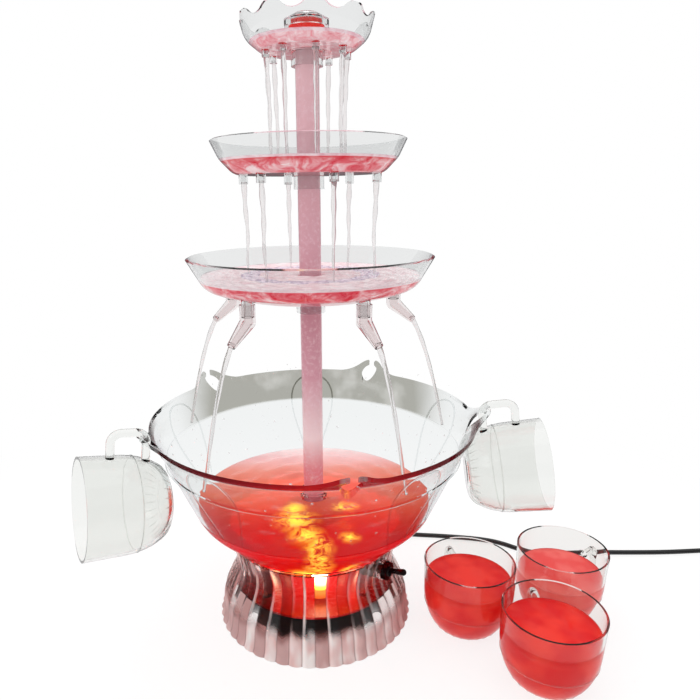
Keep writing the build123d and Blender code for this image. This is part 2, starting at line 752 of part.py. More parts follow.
def build_cup():
    """Clear cup with a round lower half, a straight upper half and a closed ring handle."""
    side = cup_radius - cup_draft

    def outline(inset_by, floor):
        bulge = EllipticalCenterArc((cup_base_radius - inset_by, cup_round_height), side - cup_base_radius,
                                    cup_round_height - floor, start_angle=270, arc_size=90)
        lip = (cup_radius - inset_by, cup_height)
        return Curve() + [bulge, Polyline(bulge @ 1, lip, (0, cup_height), (0, floor), bulge @ 0)]

    outside = revolve(Plane.XZ * make_face(outline(0, 0)), Axis.Z)
    inside = revolve(Plane.XZ * make_face(outline(cup_wall, cup_floor)), Axis.Z)
    path = FilletPolyline((handle_root_low, handle_low), (handle_reach, handle_low), (handle_reach, handle_high),
                          (handle_root_high, handle_high), radius=handle_corner)
    section = Plane(origin=(handle_root_low, 0, handle_low), z_dir=(1, 0, 0)) * Circle(handle_radius)
    handle = sweep(section, path=Plane.XZ * path)
    return outside + handle - inside


def hang(cup, angle):
    """Cup hung by its handle from the beak at an angle, mouth outwards and tilted up."""
    lean = math.radians(hang_tilt)
    base_radius = hang_leg_radius - handle_low * math.cos(lean) + handle_reach * math.sin(lean)
    base_height = hang_bar_height - handle_low * math.sin(lean) - handle_reach * math.cos(lean)
    plane = Plane(origin=(base_radius, 0, base_height), x_dir=(-math.sin(lean), 0, math.cos(lean)),
                  z_dir=(math.cos(lean), 0, math.sin(lean)))
    return Rot(0, 0, angle) * plane.location * cup


def build_gland():
    """Strain relief in the tub wall."""
    body = extrude(gland_plane(gland_pad_inner) * Circle(gland_sleeve_radius), gland_pad_outer - gland_pad_inner)
    body += extrude(gland_plane(gland_pad_outer) * Circle(gland_flange_radius), gland_flange)
    front = gland_pad_outer + gland_flange
    body += loft([gland_plane(front) * Circle(gland_sleeve_radius),
                  gland_plane(front + gland_nose) * Circle(gland_nose_radius)])
    length = front + gland_nose - gland_pad_inner + 2 * overrun
    return body - extrude(gland_plane(gland_pad_inner - overrun) * Circle(cord_radius + slip), length)


def cord_points():
    """Route of the cord's centre line from the gland to the coil."""
    points = [(*polar(cord_start_radius, gland_angle), gland_height)]
    points.append((*polar(cord_drop_radius, gland_angle), gland_height))
    points.append((*polar(cord_land_radius, gland_angle), cord_radius))
    points += [(x, y, cord_radius) for x, y in cord_route[:-1]]
    points.append((*cord_route[-1], cord_coil_height))
    points.append((coil_x - 2 * cord_radius, coil_y, cord_coil_height))
    return points


def bend_radii(points):
    """Radius at each inner point from the shorter run beside it and the turn there."""
    radii = []
    for a, b, c in zip(points, points[1:], points[2:]):
        u = Vector(b) - Vector(a)
        v = Vector(c) - Vector(b)
        half_turn = math.radians(u.get_angle(v)) / 2
        radii.append(bend_share * min(u.length, v.length) / math.tan(half_turn))
    return radii


def coil_path():
    """Flat two-layer coil of half turns, inwards below and outwards above."""
    y = coil_y
    z = cord_coil_height
    way = 1
    edges = [Line((coil_x - 2 * cord_radius, y, z), (coil_x, y, z))]
    steps = list(range(coil_layer_turns + 1)) + list(range(coil_layer_turns - 1, -1, -1))
    for count, step in enumerate(steps):
        radius = coil_outer_radius - step * coil_pitch / 2
        rise = coil_pitch if count == coil_layer_turns else 0
        across = math.sqrt(4 * radius ** 2 - rise ** 2)
        start = (coil_x, y, z)
        middle = (coil_x + way * radius, y - way * across / 2, z + rise / 2)
        y -= way * across
        z += rise
        edges.append(ThreePointArc(start, middle, (coil_x, y, z)))
        way = -way
    edges.append(Line((coil_x, y, z), (coil_x - coil_tail, y, z)))
    return edges, y


def tube_along(edges, radius):
    """Round tube swept along joined edges."""
    wire = Wire(edges)
    start = wire @ 0
    section = Plane(origin=start, z_dir=wire % 0) * Circle(radius)
    return sweep(section, path=wire), wire


def least_gap(edges, radius):
    """Least gap of a tube to itself, on points along its centre line."""
    points = []
    for edge in edges:
        count = max(2, math.ceil(edge.length / coil_sample_step))
        points += [tuple(edge @ (index / count)) for index in range(count)]
    apart = math.ceil(math.pi * coil_outer_radius / 2 / coil_sample_step)
    least = min(math.dist(a, b) for index, a in enumerate(points) for b in points[index + apart:])
    return least - 2 * radius


def build_tie():
    """Band round the bundle of the coil."""
    inner = coil_outer_radius - (coil_layer_turns - 1) * coil_pitch / 2 - cord_radius - tie_room
    outer = coil_outer_radius + cord_radius + tie_room
    low = tie_thickness
    high = coil_upper_height + cord_radius + clearance
    hole = Pos((inner + outer) / 2, (low + high) / 2) * RectangleRounded(outer - inner, high - low, tie_room)
    band = Pos((inner + outer) / 2, (low + high) / 2) * RectangleRounded(
        outer - inner + 2 * tie_thickness, high - low + 2 * tie_thickness, tie_room + tie_thickness)
    centre = coil_y - coil_outer_radius - coil_pitch / 2
    plane = Plane(origin=(coil_x, centre + tie_width / 2, 0), x_dir=(1, 0, 0), z_dir=(0, -1, 0))
    return extrude(plane * (band - hole), tie_width)


def plug_plane(distance, end_y):
    """Plane square to the plug's axis at a distance from the end of the coil."""
    return Plane(origin=(coil_x - coil_tail - distance, end_y, coil_upper_height), x_dir=(0, 1, 0),
                 z_dir=(-1, 0, 0))


def build_plug(end_y):
    """Moulded plug body with a tapering neck, flat on the table."""
    height = 2 * coil_upper_height
    body = loft([plug_plane(0, end_y) * Circle(plug_neck_radius),
                 plug_plane(plug_neck, end_y) * RectangleRounded(plug_width, height, plug_round)])
    body += extrude(plug_plane(plug_neck, end_y) * RectangleRounded(plug_width, height, plug_round),
                    plug_length - plug_neck)
    return body - extrude(pin_face(plug_length - pin_root, end_y), pin_root)


def pin_face(distance, end_y):
    """Two flat pin sections side by side."""
    pins = [Pos(way * pin_spacing / 2, 0) * Rectangle(pin_thickness, pin_width) for way in (-1, 1)]
    return plug_plane(distance, end_y) * (Sketch() + pins)


def build_pins(end_y):
    """Flat plug pins rooted in the body."""
    return extrude(pin_face(plug_length - pin_root, end_y), pin_root + pin_length)


route = cord_points()
radii = bend_radii(route)
coil_edges, coil_end_y = coil_path()
lead, lead_wire = tube_along(FilletPolyline(*route, radius=radii).edges(), cord_radius)
coil, coil_wire = tube_along(coil_edges, cord_radius)
print("cord bend radii", [round(radius, 1) for radius in radii])
for name, tube, wire in (("lead", lead, lead_wire), ("coil", coil, coil_wire)):
    share = tube.volume / (math.pi * cord_radius ** 2 * wire.length)
    print(name, "length", round(wire.length, 1), "volume share of section times length", round(share, 4))
print("coil gap to itself", round(least_gap(coil_edges, cord_radius), 3))

cup = build_cup()
spout = build_spout()
pieces = {
    "base_skirt": build_skirt(),
    "deck_plate": build_deck(),
    "motor_tub": build_tub(),
    "bottom_cover": build_cover(),
    "deck_screws": build_screws(post_pitch_radius, deck_bottom - tub_flange, post_first_angle),
    "cover_screws": build_screws(boss_pitch_radius, tub_bottom - cover_thickness, 0),
    "rubber_feet": build_feet(),
    "motor_can": build_motor(),
    "motor_bracket": ring(bracket_radius, motor_boss_radius + slip, deck_bottom - bracket_thickness, deck_bottom),
    "motor_shaft": disc(shaft_radius, shaft_bottom, shaft_top),
    "impeller": build_impeller(),
    "shaft_sleeve": ring(sleeve_radius, sleeve_bore, deck_top, bowl_floor),
    "shaft_seal": ring(seal_radius - slip, shaft_radius + slip, bowl_floor, bowl_inside + seal_lip),
    "lamp_sockets": build_sockets(),
    "lamp_bulbs": build_bulbs(),
    "switch_body": build_switch_body(),
    "switch_nut": build_switch_nut(),
    "switch_lever": build_lever(),
    "bowl": build_bowl(),
    "bowl_gasket": ring(gasket_outer, gasket_inner, skirt_height, bowl_floor),
    "pump_cover": build_pump_cover(),
    "lower_tube": ring(tube_radius, tube_bore, tube_seat, large_tray_floor),
    "large_tray": build_large_tray(),
    "middle_tube": ring(tube_radius, tube_bore, large_tray_floor + hub_web, middle_tray_floor),
    "middle_tray": build_middle_tray(),
    "upper_tube": ring(tube_radius, tube_bore, middle_tray_floor + hub_web, crown_tray_floor),
    "crown_tray": build_crown_tray(),
    "outlet_cap": build_cap(),
    "cord_gland": build_gland(),
    "cord_lead": lead,
    "cord_coil": coil,
    "cord_tie": build_tie(),
    "plug_body": build_plug(coil_end_y),
    "plug_pins": build_pins(coil_end_y),
}
for number, placed in enumerate(around(spout, spout_count, spout_first_angle), start=1):
    pieces[f"spout_{number}"] = placed
for name, angle in hung_cups.items():
    pieces[name] = hang(cup, angle)
for name, (x, y, angle) in stood_cups.items():
    pieces[name] = Pos(x, y, 0) * Rot(0, 0, angle) * cup
for name, shape in pieces.items():
    export_step(shape, f"parts/{name}.step")
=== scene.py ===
"""Drink fountain: finishes, drink, falling streams, cord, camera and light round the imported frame."""
import logging
import math
from dataclasses import dataclass
from enum import Enum
from typing import Any, Sequence

import bpy
import numpy as np
from mathutils import Matrix, Vector


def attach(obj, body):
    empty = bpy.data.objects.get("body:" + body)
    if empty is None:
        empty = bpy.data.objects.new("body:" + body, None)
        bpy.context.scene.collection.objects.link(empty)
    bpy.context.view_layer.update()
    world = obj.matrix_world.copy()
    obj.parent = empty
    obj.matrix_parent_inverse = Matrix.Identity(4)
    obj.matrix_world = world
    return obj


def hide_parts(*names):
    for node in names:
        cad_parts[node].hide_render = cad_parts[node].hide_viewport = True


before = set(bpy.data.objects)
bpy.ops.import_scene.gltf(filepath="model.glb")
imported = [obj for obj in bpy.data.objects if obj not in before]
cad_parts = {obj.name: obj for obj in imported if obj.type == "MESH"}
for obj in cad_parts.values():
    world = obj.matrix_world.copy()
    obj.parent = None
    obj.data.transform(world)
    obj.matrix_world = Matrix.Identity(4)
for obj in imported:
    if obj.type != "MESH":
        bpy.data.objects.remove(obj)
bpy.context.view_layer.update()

MM = 0.001
FULL_TURN = 2.0 * math.pi
WHITE = (1.0, 1.0, 1.0, 1.0)
LOG = logging.getLogger("drink_fountain")

Material = bpy.types.Material
Socket = bpy.types.NodeSocket
Pair = tuple[float, float]
Mesh = tuple[np.ndarray, list]


class Body(str, Enum):
    """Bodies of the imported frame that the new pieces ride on."""

    BASE = "base"
    CUP_NEAR = "cup_near_body"
    CUP_MID = "cup_mid_body"
    CUP_FAR = "cup_far_body"
    CUP_LEFT = "cup_left_body"
    CUP_RIGHT = "cup_right_body"

    def piece(self, kind: str) -> str:
        """Name of a piece of a kind that rides on this body."""
        return self.value.removesuffix("_body") + kind


def linear(code: str) -> tuple[float, float, float, float]:
    """Turns an sRGB hex colour to linear light.

    Args:
        code: colour as #rrggbb.

    Returns:
        Linear red, green and blue, and full alpha.
    """
    part = np.array([int(code[i:i + 2], 16) for i in (1, 3, 5)]) / 255.0
    value = np.where(part <= 0.04045, part / 12.92, ((part + 0.055) / 1.055) ** 2.4)
    return (float(value[0]), float(value[1]), float(value[2]), 1.0)


def add_node(tree: bpy.types.NodeTree, kind: str, inputs: dict | None = None,
             stops: Sequence[tuple[float, str]] = (), **settings: Any) -> bpy.types.Node:
    """Adds a node with its settings, ramp stops and links.

    Args:
        tree: node tree that takes it.
        kind: node's type name.
        inputs: value or socket for each input, by name or number.
        stops: place and hex colour of each ramp stop, the two ends first.
        settings: attributes of the node.

    Returns:
        The new node.
    """
    node = tree.nodes.new(kind)
    for key, value in settings.items():
        setattr(node, key, value)
    for i, (place, code) in enumerate(stops):
        ramp = node.color_ramp.elements
        stop = ramp[i] if i < 2 else ramp.new(place)
        stop.position, stop.color = place, linear(code)
    for key, value in (inputs or {}).items():
        if isinstance(value, Socket):
            tree.links.new(value, node.inputs[key])
        else:
            node.inputs[key].default_value = value
    return node


def blank_material(name: str) -> Material:
    """New material whose node tree is empty."""
    material = bpy.data.materials.new(name)
    material.use_nodes = True
    material.node_tree.nodes.clear()
    return material


def start_material(name: str,
                   **sockets: Any) -> tuple[Material, bpy.types.NodeTree, bpy.types.Node, Socket]:
    """Starts a material with one shader and the piece's own coordinates.

    Args:
        name: material's name.
        sockets: constant values of the shader, with underscores for spaces.

    Returns:
        Material, node tree, shader and the Object coordinate socket.
    """
    material = blank_material(name)
    tree = material.node_tree
    shader = add_node(tree, "ShaderNodeBsdfPrincipled",
                      {key.replace("_", " "): value for key, value in sockets.items()})
    add_node(tree, "ShaderNodeOutputMaterial", {"Surface": shader.outputs["BSDF"]})
    place = add_node(tree, "ShaderNodeTexCoord")
    return material, tree, shader, place.outputs["Object"]


def per_metre(size_mm: float) -> float:
    """Texture scale, in cells for each metre, of a pattern that repeats at a size in millimetres."""
    return 1.0 / (size_mm * MM)


@dataclass(frozen=True)
class ClearMoulding:
    """Clear moulded polystyrene: glassy, with painted grey shade at its edges and the slight waviness of a
    thin moulding.
    """

    name: str = "clear moulded polystyrene"
    face: str = "#E9EAEA"
    # edge and rim: painted shade, grey and then dark where the wall turns from the eye
    edge: str = "#7E7480"
    rim: str = "#4A3848"
    edge_blend: float = 0.32
    edge_at: Pair = (0.62, 0.86)
    wave_mm: float = 26.0
    wave_depth_mm: float = 0.35
    wave_strength: float = 0.25
    roughness: float = 0.02
    ior: float = 1.27

    def build(self) -> Material:
        """Clear where the wall faces the eye, painted grey shade where it turns away, with long shallow
        waves.
        """
        material, tree, shader, place = start_material(
            self.name, Transmission_Weight=1.0, IOR=self.ior, Roughness=self.roughness)
        # Painted shade: clear where the wall faces the eye, grey and then dark as it turns away
        facing = add_node(tree, "ShaderNodeLayerWeight", {"Blend": self.edge_blend}).outputs["Facing"]
        clear, grey = self.edge_at
        ramp = add_node(tree, "ShaderNodeValToRGB", {0: facing},
                        stops=[(0.0, self.face), (1.0, self.rim), (clear, self.face), (grey, self.edge)])
        tree.links.new(ramp.outputs["Color"], shader.inputs["Base Color"])
        wave = add_node(tree, "ShaderNodeTexNoise",
                        {"Vector": place, "Scale": per_metre(self.wave_mm), "Detail": 2.0})
        bump = add_node(tree, "ShaderNodeBump", {"Height": wave.outputs[0], "Strength": self.wave_strength,
                                                 "Distance": self.wave_depth_mm * MM})
        tree.links.new(bump.outputs[0], shader.inputs["Normal"])
        return material


@dataclass(frozen=True)
class BowlMoulding:
    """Clear polystyrene of the bowl: painted grey shade at its edges, painted grey shade in the collar at the
    back, and a painted dark red reflection of the drink along the front rim.

    The low index of refraction beside the drink keeps the inner wall from acting as a mirror there.
    """

    name: str = "clear polystyrene bowl"
    face: str = "#F1F3F3"
    # edge: painted grey shade where the wall turns from the eye
    edge: str = "#B4AFB6"
    # rim: painted dark red where the wall turns from the eye on the front rim's strip
    rim: str = "#5E0A14"
    # Painted reflection of the red drink along the front rim, its colour running across from left to right
    painted_lip_reflection: tuple = ((0.06, "#240A10"), (0.97, "#4A0C14"), (0.28, "#7A0E18"), (0.5, "#C0161E"),
                  (0.66, "#B8141E"), (0.8, "#780E18"))
    lip_mm: float = 140.0
    lip_from_mm: float = 191.0
    lip_to_mm: float = 192.4
    lip_reach_mm: Pair = (143.2, 147.0)
    front_from_mm: float = 0.0
    front_to_mm: float = -45.0
    lip_clear: float = 0.3
    beak_front_mm: Pair = (-105.0, -125.0)
    beak_mm: float = 7.0
    low_mm: Pair = (170.0, 184.0)
    low_iors: Pair = (1.15, 1.04)
    edge_blend: float = 0.3
    edge_at: Pair = (0.5, 0.9)
    roughness: float = 0.02
    # Painted grey shade in the collar at the back, strongest away from the sides
    painted_collar_shade: tuple = ((0.54, "#ADADA6"), (0.8, "#DEDEDA"))
    collar_shade_over_mm: Pair = (166.4, 168.2)
    collar_shade_back_mm: Pair = (20.0, 75.0)
    collar_shade_aside_mm: Pair = (134.0, 104.0)
    cloud_mm: float = 38.0
    wave_mm: float = 34.0
    wave_depth_mm: float = 0.5
    wave_strength: float = 0.3

    def build(self) -> Material:
        """Clear where the wall faces the eye, painted grey shade where it turns away; the painted red
        reflection on the front rim and the painted collar shade go by place.
        """
        material, tree, shader, place = start_material(self.name, Roughness=self.roughness)
        part = add_node(tree, "ShaderNodeSeparateXYZ", {0: place}).outputs
        # Where the painted red reflection goes: the top of the collar, at the front, out at the rim
        high = add_node(tree, "ShaderNodeMapRange", {"Value": part["Z"], "From Min": self.lip_from_mm * MM,
                                                     "From Max": self.lip_to_mm * MM}).outputs["Result"]
        front = add_node(tree, "ShaderNodeMapRange", {"Value": part["Y"], "From Min": self.front_from_mm * MM,
                                                      "From Max": self.front_to_mm * MM}).outputs["Result"]
        low = add_node(tree, "ShaderNodeMapRange", {"Value": part["Z"], "From Min": self.low_mm[1] * MM,
                                                    "From Max": self.low_mm[0] * MM}).outputs["Result"]
        bend = add_node(tree, "ShaderNodeMapRange", {"Value": low, "To Min": self.low_iors[0],
                                                     "To Max": self.low_iors[1]}).outputs["Result"]
        tree.links.new(bend, shader.inputs["IOR"])
        plan = add_node(tree, "ShaderNodeMapping", {"Vector": place, "Scale": (1.0, 1.0, 0.0)}).outputs[0]
        length = add_node(tree, "ShaderNodeVectorMath", {0: plan}, operation="LENGTH").outputs["Value"]
        beak = add_node(tree, "ShaderNodeMapRange",
                        {"Value": part["Y"], "From Min": self.beak_front_mm[0] * MM,
                         "From Max": self.beak_front_mm[1] * MM,
                         "To Max": self.beak_mm * MM}).outputs["Result"]
        out = add_node(tree, "ShaderNodeMath", {0: length, 1: beak}, operation="SUBTRACT").outputs[0]
        near = add_node(tree, "ShaderNodeMapRange", {"Value": out, "From Min": self.lip_reach_mm[1] * MM,
                                                     "From Max": self.lip_reach_mm[0] * MM}).outputs["Result"]
        ahead = add_node(tree, "ShaderNodeMath", {0: high, 1: front}, operation="MULTIPLY").outputs[0]
        lip_reflection_band = add_node(tree, "ShaderNodeMath", {0: ahead, 1: near}, operation="MULTIPLY").outputs[0]
        # Painted shade: grey where the wall turns from the eye, dark red on the front rim's strip
        facing = add_node(tree, "ShaderNodeLayerWeight", {"Blend": self.edge_blend}).outputs["Facing"]
        turn = add_node(tree, "ShaderNodeMapRange",
                        {"Value": facing, "From Min": self.edge_at[0], "From Max": self.edge_at[1]},
                        interpolation_type="SMOOTHSTEP").outputs["Result"]
        dark = add_node(tree, "ShaderNodeMix",
                        {"Factor": lip_reflection_band, "A": linear(self.edge), "B": linear(self.rim)},
                        data_type="RGBA").outputs["Result"]
        # The painted reflection lets less light through
        clear = add_node(tree, "ShaderNodeMapRange", {"Value": lip_reflection_band, "To Min": 1.0,
                                                      "To Max": self.lip_clear}).outputs["Result"]
        tree.links.new(clear, shader.inputs["Transmission Weight"])
        # Painted reflection of the red drink: its colour across the front
        across = add_node(tree, "ShaderNodeMapRange", {"Value": part["X"], "From Min": -self.lip_mm * MM,
                                                       "From Max": self.lip_mm * MM}).outputs["Result"]
        red = add_node(tree, "ShaderNodeValToRGB", {0: across}, stops=self.painted_lip_reflection).outputs["Color"]
        side = add_node(tree, "ShaderNodeMath", {0: part["X"]}, operation="ABSOLUTE").outputs[0]
        # Mask of the painted collar shade: high on the bowl, at the back, fading towards the sides
        shade: Socket | None = None
        for value, (start, end) in ((part["Z"], self.collar_shade_over_mm), (part["Y"], self.collar_shade_back_mm),
                                    (side, self.collar_shade_aside_mm)):
            share = add_node(tree, "ShaderNodeMapRange", {"Value": value, "From Min": start * MM,
                                                          "From Max": end * MM}).outputs["Result"]
            shade = share if shade is None else add_node(tree, "ShaderNodeMath", {0: shade, 1: share},
                                                         operation="MULTIPLY").outputs[0]
        cloud = add_node(tree, "ShaderNodeTexNoise", {"Vector": place, "Scale": per_metre(self.cloud_mm),
                                                      "Detail": 3.0}).outputs[0]
        painted_collar_shade = add_node(tree, "ShaderNodeValToRGB", {0: cloud}, stops=self.painted_collar_shade).outputs["Color"]
        wall = add_node(tree, "ShaderNodeMix", {"Factor": shade, "A": linear(self.face), "B": painted_collar_shade},
                        data_type="RGBA").outputs["Result"]
        body = add_node(tree, "ShaderNodeMix", {"Factor": lip_reflection_band, "A": wall, "B": red},
                        data_type="RGBA").outputs["Result"]
        colour = add_node(tree, "ShaderNodeMix", {"Factor": turn, "A": body, "B": dark},
                          data_type="RGBA").outputs["Result"]
        tree.links.new(colour, shader.inputs["Base Color"])
        wave = add_node(tree, "ShaderNodeTexNoise",
                        {"Vector": place, "Scale": per_metre(self.wave_mm), "Detail": 1.0})
        bump = add_node(tree, "ShaderNodeBump", {"Height": wave.outputs[0], "Strength": self.wave_strength,
                                                 "Distance": self.wave_depth_mm * MM})
        tree.links.new(bump.outputs[0], shader.inputs["Normal"])
        return material


@dataclass(frozen=True)
class FlutedSkirtMoulding:
    """Fluted polystyrene of the base: clear flutes of uneven tint with painted shade in their valleys and
    painted highlight stripes, frosted pink and grey low down.
    """

    name: str = "clear fluted polystyrene"
    ior: float = 1.16
    flutes: int = 48
    tints: tuple = ((0.0, "#B07A76"), (1.0, "#FFFFFF"), (0.35, "#E2C4C0"), (0.6, "#FAF1F0"))
    # Painted shade along the valleys between flutes, and a painted highlight on one side of some flutes
    painted_valley_shade: str = "#8A5E60"
    valley_at: Pair = (0.42, 0.5)
    painted_highlight: str = "#FFF4F2"
    highlight_at: Pair = (0.3, 0.12)
    highlight_chance: Pair = (0.3, 0.7)
    highlight_patches: Pair = (0.36, 0.58)
    most: float = 0.55
    frost: tuple = ((0.36, "#D4B0AE"), (0.63, "#FFFAF8"), (0.5, "#F0D0CD"))
    frost_from_mm: float = 20.5
    frost_to_mm: float = 8.0
    frost_rise_mm: float = 20.0
    frost_chance: float = 0.22
    frost_matt_at: float = 0.6
    roughness: Pair = (0.05, 0.8)
    frost_weight: float = 0.14
    streak_mm: float = 16.0
    streak_draw: float = 0.35

    def build(self) -> Material:
        """Each flute has a tint by chance, painted shade in its valleys and a painted pale highlight line;
        frost grows downwards.
        """
        material, tree, shader, place = start_material(self.name, IOR=self.ior)
        part = add_node(tree, "ShaderNodeSeparateXYZ", {0: place}).outputs
        turn = add_node(tree, "ShaderNodeMath", {0: part["Y"], 1: part["X"]}, operation="ARCTAN2").outputs[0]
        count = add_node(tree, "ShaderNodeMath", {0: turn, 1: self.flutes / FULL_TURN},
                         operation="MULTIPLY").outputs[0]
        within = add_node(tree, "ShaderNodeMath", {0: count}, operation="FRACT").outputs[0]
        number = add_node(tree, "ShaderNodeMath", {0: count}, operation="FLOOR").outputs[0]
        chance = add_node(tree, "ShaderNodeTexWhiteNoise", {"W": number},
                          noise_dimensions="1D").outputs["Value"]
        off = add_node(tree, "ShaderNodeMath", {0: within, 1: 0.5}, operation="SUBTRACT").outputs[0]
        side = add_node(tree, "ShaderNodeMath", {0: off}, operation="ABSOLUTE").outputs[0]
        # Painted shade: a darker line along the valleys between flutes
        painted_valley_shade = add_node(tree, "ShaderNodeMapRange",
                          {"Value": side, "From Min": self.valley_at[0], "From Max": self.valley_at[1],
                           "To Max": self.most}).outputs["Result"]
        # Painted highlight: a pale line on one side of some flutes, in patches
        highlight_stripe = add_node(tree, "ShaderNodeMapRange",
                          {"Value": within, "From Min": self.highlight_at[0], "From Max": self.highlight_at[1]},
                          interpolation_type="SMOOTHSTEP").outputs["Result"]
        often = add_node(tree, "ShaderNodeMapRange",
                         {"Value": chance, "From Min": self.highlight_chance[0],
                          "From Max": self.highlight_chance[1], "To Max": self.most}).outputs["Result"]
        tint = add_node(tree, "ShaderNodeValToRGB", {0: chance}, stops=self.tints).outputs["Color"]
        drawn = add_node(tree, "ShaderNodeMapping",
                         {"Vector": place, "Scale": (1.0, 1.0, self.streak_draw)}).outputs[0]
        streak = add_node(tree, "ShaderNodeTexNoise", {"Vector": drawn, "Scale": per_metre(self.streak_mm),
                                                       "Detail": 2.0}).outputs[0]
        patchy = add_node(tree, "ShaderNodeMapRange",
                          {"Value": streak, "From Min": self.highlight_patches[0],
                           "From Max": self.highlight_patches[1]}).outputs["Result"]
        fleck = add_node(tree, "ShaderNodeMath", {0: often, 1: patchy}, operation="MULTIPLY").outputs[0]
        painted_highlight = add_node(tree, "ShaderNodeMath", {0: highlight_stripe, 1: fleck}, operation="MULTIPLY").outputs[0]
        bright = add_node(tree, "ShaderNodeMix", {"Factor": painted_highlight, "A": tint, "B": linear(self.painted_highlight)},
                          data_type="RGBA").outputs["Result"]
        uneven = add_node(tree, "ShaderNodeMath", {0: streak, 1: -self.frost_rise_mm * MM, 2: part["Z"]},
                          operation="MULTIPLY_ADD").outputs[0]
        down = add_node(tree, "ShaderNodeMapRange",
                        {"Value": uneven, "From Min": self.frost_from_mm * MM,
                         "From Max": self.frost_to_mm * MM},
                        interpolation_type="SMOOTHSTEP").outputs["Result"]
        blend = add_node(tree, "ShaderNodeMix",
                         {"Factor": self.frost_chance, "A": streak, "B": chance}).outputs["Result"]
        tone = add_node(tree, "ShaderNodeValToRGB", {0: blend}, stops=self.frost).outputs["Color"]
        body = add_node(tree, "ShaderNodeMix", {"Factor": down, "A": bright, "B": tone},
                        data_type="RGBA").outputs["Result"]
        colour = add_node(tree, "ShaderNodeMix", {"Factor": painted_valley_shade, "A": body, "B": linear(self.painted_valley_shade)},
                          data_type="RGBA").outputs["Result"]
        tree.links.new(colour, shader.inputs["Base Color"])
        # The frost and the painted highlight let less light through
        cloudy = add_node(tree, "ShaderNodeMath", {0: down, 1: 1.0 - self.frost_weight, 2: painted_highlight},
                          operation="MULTIPLY_ADD").outputs[0]
        weight = add_node(tree, "ShaderNodeMath", {0: 1.0, 1: cloudy}, operation="SUBTRACT",
                          use_clamp=True).outputs[0]
        tree.links.new(weight, shader.inputs["Transmission Weight"])
        matt = add_node(tree, "ShaderNodeMapRange",
                        {"Value": down, "From Max": self.frost_matt_at, "To Min": self.roughness[0],
                         "To Max": self.roughness[1]}).outputs["Result"]
        tree.links.new(matt, shader.inputs["Roughness"])
        return material


